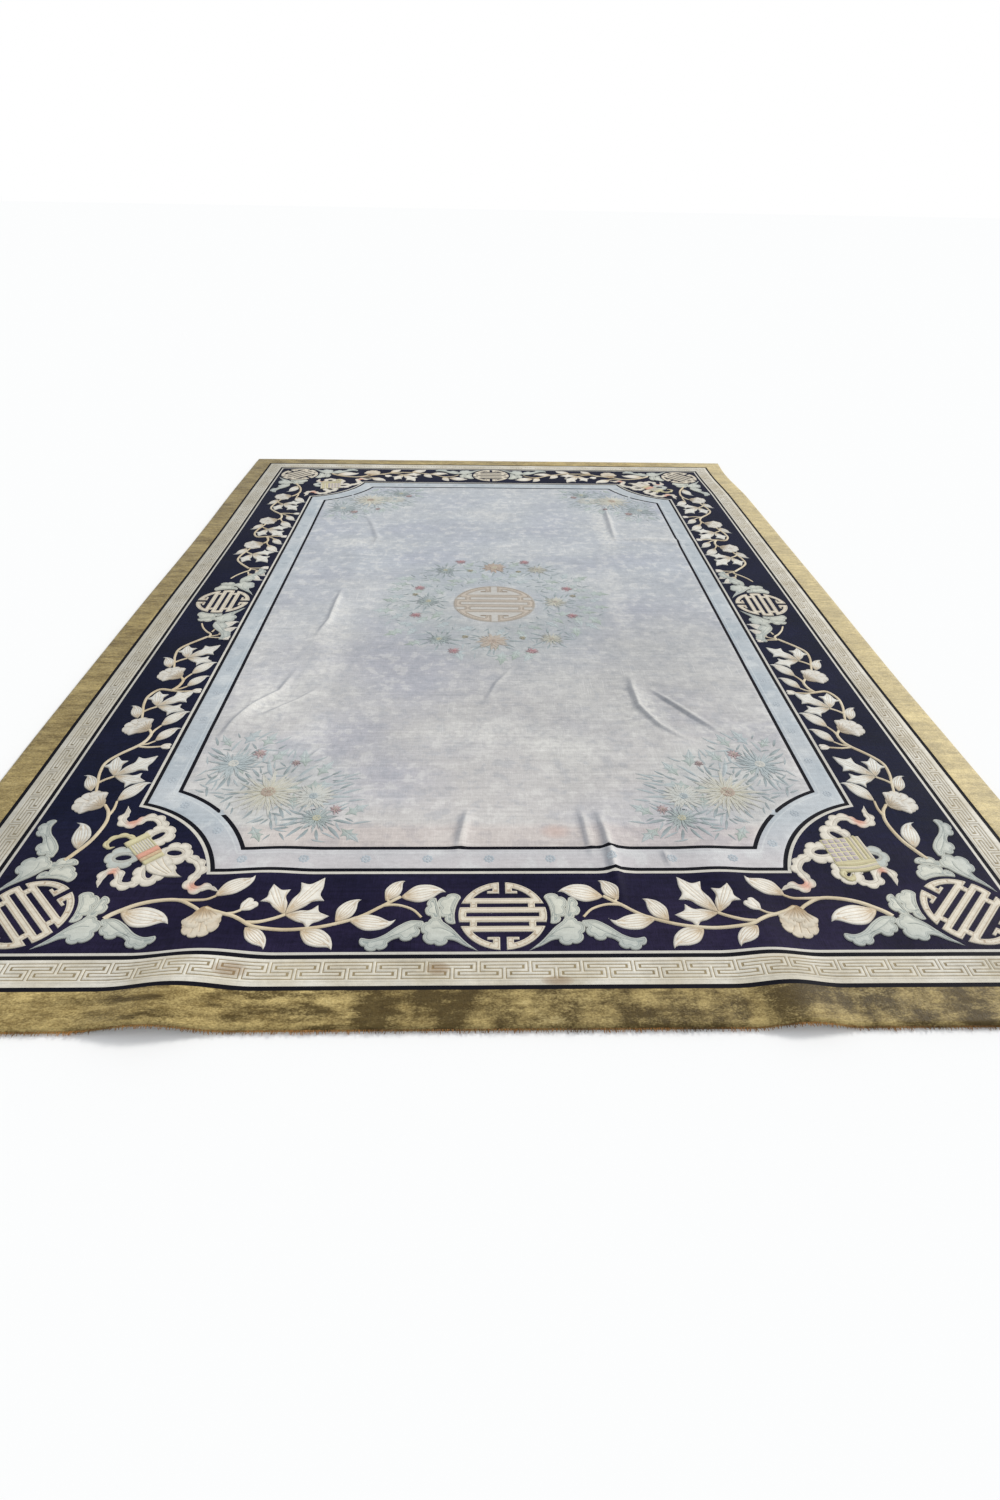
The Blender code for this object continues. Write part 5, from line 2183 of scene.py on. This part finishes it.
def ring_flowers():
    """The blossoms round the field's roundel."""
    flowers = []
    for i, (name, (place, radius)) in enumerate(RING_BLOOMS.items()):
        if name == "bottom":
            shapes = mum(radius, 13, FIELD_ORANGE, FIELD_TAN, FIELD_ORANGE, i, 2.2)
        elif name == "top":
            shapes = mum(radius, 12, FIELD_TAN, FIELD_ORANGE, FIELD_YELLOW, i, 2.3)
        elif i % 2:
            shapes = mum(radius, 17, FIELD_YELLOW, FIELD_CREAM, FIELD_TAN, i)
        else:
            shapes = mum(radius, 17, FIELD_GREEN, FIELD_GREY, FIELD_YELLOW, i)
        flowers += group(shapes, at=place, turn=37 * i + 90)
    pink = mum(0.030, 9, FIELD_PINK, FIELD_PALE_PINK, FIELD_PINK, 4, 1.7)
    for i, place in enumerate(RING_PINKS):
        flowers += group(pink, at=place, turn=50 * i)
    round_bud = mum(0.017, 6, FIELD_ORANGE, FIELD_YELLOW, FIELD_YELLOW, 6, 2.4)
    for i, place in enumerate(RING_BUDS):
        flowers += group(round_bud, at=place, turn=50 * i)
    return flowers


def ring_leaves():
    """Leaves that fill the ring, with dark blades beside its blossoms."""
    pale, slim, dark = leaf_kinds()
    foliage = Foliage(7)
    for bloom in RING_BLOOMS.values():
        foliage.add_beside(dark, bloom, 8, 0.80, 14, (0.8, 1.2))
    foliage.strew(pale, FIELD_MIDDLE, 0.225, 0.450, 1000, (0.75, 1.05))
    foliage.strew(slim + dark, FIELD_MIDDLE, 0.215, 0.465, 900, (0.5, 0.9))
    return foliage.leaves


# The near left corner's spray: place and radius of its blooms and buds, leaves tried round each bloom,
# and place, turn and size of its twigs
SPRAY_LARGE = ((-0.695, -1.325), 0.118)
SPRAY_BLUE = ((-0.835, -1.185), 0.088)
SPRAY_GREEN = ((-0.530, -1.445), 0.064)
SPRAY_ROUND = ((-0.556, -1.345), 0.070)
SPRAY_TRIES = (300, 240, 160, 100)
SPRAY_BUDS = (((-0.765, -1.130), 0.028), ((-0.482, -1.405), 0.024), ((-0.640, -1.180), 0.018))
SPRAY_TWIGS = (
    ((-0.700, -1.250), 118, 1.5),
    ((-0.745, -1.180), 96, 1.1),
    ((-0.590, -1.395), 20, 1.5),
    ((-0.520, -1.350), 12, 1.2),
    ((-0.620, -1.250), 60, 1.2),
    ((-0.860, -1.120), 84, 1.0),
)


def spray():
    """The near left corner's blooms, buds and leaves."""
    blooms = (
        (SPRAY_LARGE, (22, FIELD_YELLOW, FIELD_CREAM, FIELD_ORANGE, 2)),
        (SPRAY_BLUE, (18, FIELD_BLUE, FIELD_GREY, FIELD_CREAM, 5)),
        (SPRAY_GREEN, (16, FIELD_GREEN, FIELD_GREY, FIELD_YELLOW, 8)),
        (SPRAY_ROUND, (19, FIELD_GREY, FIELD_CREAM, FIELD_BLUE, 9, 1.7)),
    )
    flowers = []
    for (place, radius), kind in blooms:
        flowers += group(mum(radius, *kind), at=place)
    for place, radius in SPRAY_BUDS:
        flowers += group(mum(radius, 7, FIELD_ORANGE, FIELD_PALE_PINK, FIELD_ORANGE, 4, 2.0), at=place)
    pale, slim, dark = leaf_kinds()
    foliage = Foliage(11)
    for place, turn, size in SPRAY_TWIGS:
        foliage.add(slim[0].placed(place, turn, size), force=True)
    for bloom in (SPRAY_LARGE, SPRAY_BLUE, SPRAY_GREEN):
        foliage.add_beside(dark, bloom, 14, 0.72, 9, (0.9, 1.5))
    shadow = blade(0.034, 0.18, 0.0, FIELD_SHADOW, FIELD_SHADOW, LEAF_RELIEF)
    foliage.add(shadow.placed((-0.612, -1.470), 22))
    foliage.add(shadow.placed((-0.556, -1.408), 14, 0.7))
    for (place, radius), tries in zip((SPRAY_LARGE, SPRAY_BLUE, SPRAY_GREEN, SPRAY_ROUND), SPRAY_TRIES):
        foliage.strew(pale, place, 0.80 * radius, 1.35 * radius, tries, (0.70, 1.0))
        foliage.strew(slim + dark, place, 0.85 * radius, 1.7 * radius, 2 * tries, (0.6, 1.0))
    return flowers, foliage.leaves


def make_field():
    """The field's leaves and its blossoms, round the roundel and in the four corners."""
    spray_flowers, spray_leaves = spray()
    silk = carved_silk("field_motif_silk", line="#979e9f", vein_share=0.35, rim=0.84)
    return [
        build("field_leaves", ring_leaves() + all_quarters(spray_leaves), silk),
        build("field_blossoms", ring_flowers() + all_quarters(spray_flowers), silk),
    ]


# Studio: camera as fitted to the photo, and how strong its soft sky and its sun are

CAMERA_PLACE = (-0.0525, -3.150, 1.5067)
CAMERA_PITCH = 36.17
CAMERA_YAW = -1.63
CAMERA_ROLL = 1.05
LENS = 18.66
SENSOR_WIDTH = 36.0
FLOOR_REACH = 60.0
SKY_STRENGTH = 0.74
SUN_STRENGTH = 1.9
SUN_FROM = (0.66, 0.48, 0.58)
SUN_SPREAD = 14.0


def make_camera():
    """A standing person's view from the near end, looking down along the rug."""
    pitch, yaw, roll = math.radians(CAMERA_PITCH), math.radians(CAMERA_YAW), math.radians(CAMERA_ROLL)
    forward = Vector((-math.sin(yaw) * math.cos(pitch), math.cos(yaw) * math.cos(pitch), -math.sin(pitch)))
    level = Vector((math.cos(yaw), math.sin(yaw), 0.0))
    right = Matrix.Rotation(-roll, 3, forward) @ level
    up = right.cross(forward)
    camera = bpy.data.objects.new("camera", bpy.data.cameras.new("camera"))
    camera.data.lens = LENS
    camera.data.sensor_width = SENSOR_WIDTH
    camera.matrix_world = Matrix((right, up, -forward)).transposed().to_4x4()
    camera.location = CAMERA_PLACE
    bpy.context.scene.collection.objects.link(camera)
    bpy.context.scene.camera = camera


def make_floor():
    """A pale matt floor, wider than the view."""
    mesh = bpy.data.meshes.new("floor")
    mesh.from_pydata([(FLOOR_REACH * x, FLOOR_REACH * y, 0.0) for x, y in CORNERS], [], [(0, 1, 2, 3)])
    floor = bpy.data.objects.new("floor", mesh)
    bpy.context.scene.collection.objects.link(floor)
    paint = bpy.data.materials.new("pale_floor")
    paint.use_nodes = True
    shader = paint.node_tree.nodes["Principled BSDF"]
    shader.inputs["Base Color"].default_value = (0.94, 0.935, 0.925, 1.0)
    shader.inputs["Roughness"].default_value = 1.0
    shader.inputs["Specular IOR Level"].default_value = 0.0
    mesh.materials.append(paint)


def make_sky():
    """A white backdrop, which lights the rug a little less than it shows."""
    world = bpy.data.worlds.new("studio")
    world.use_nodes = True
    graph = Graph(world.node_tree)
    soft_light = world.node_tree.nodes["Background"]
    soft_light.inputs["Color"].default_value = (0.93, 0.96, 1.0, 1.0)
    soft_light.inputs["Strength"].default_value = SKY_STRENGTH
    backdrop = graph.node("ShaderNodeBackground", None, {"Color": (1.0, 1.0, 1.0, 1.0), "Strength": 1.0})
    seen = graph.node("ShaderNodeLightPath").outputs["Is Camera Ray"]
    mixed = graph.node("ShaderNodeMixShader", None, {0: seen, 1: soft_light, 2: backdrop})
    graph.feed(world.node_tree.nodes["World Output"].inputs["Surface"], mixed)
    bpy.context.scene.world = world


def make_sun():
    """A wide soft light from the right and the far end."""
    light = bpy.data.lights.new("window_light", "SUN")
    light.energy = SUN_STRENGTH
    light.angle = math.radians(SUN_SPREAD)
    light.color = (1.0, 0.975, 0.93)
    lamp = bpy.data.objects.new("window_light", light)
    lamp.rotation_euler = Vector(SUN_FROM).to_track_quat("Z", "Y").to_euler()
    bpy.context.scene.collection.objects.link(lamp)


fret_cream = fret_silk()
ground = make_ground(fret_cream)
line_tree = raised_line_tree()
motif_pieces = [
    make_roundels(),
    make_scrolls(),
    make_leaves(),
    make_stems(line_tree),
    make_fretwork(line_tree, fret_cream),
    make_rosettes(),
    make_stubble(),
    *make_emblems(),
    make_field_roundel(),
    *make_field(),
]
make_camera()
make_floor()
make_sky()
make_sun()
bpy.context.scene.view_settings.view_transform = "Standard"

bpy.context.view_layer.update()
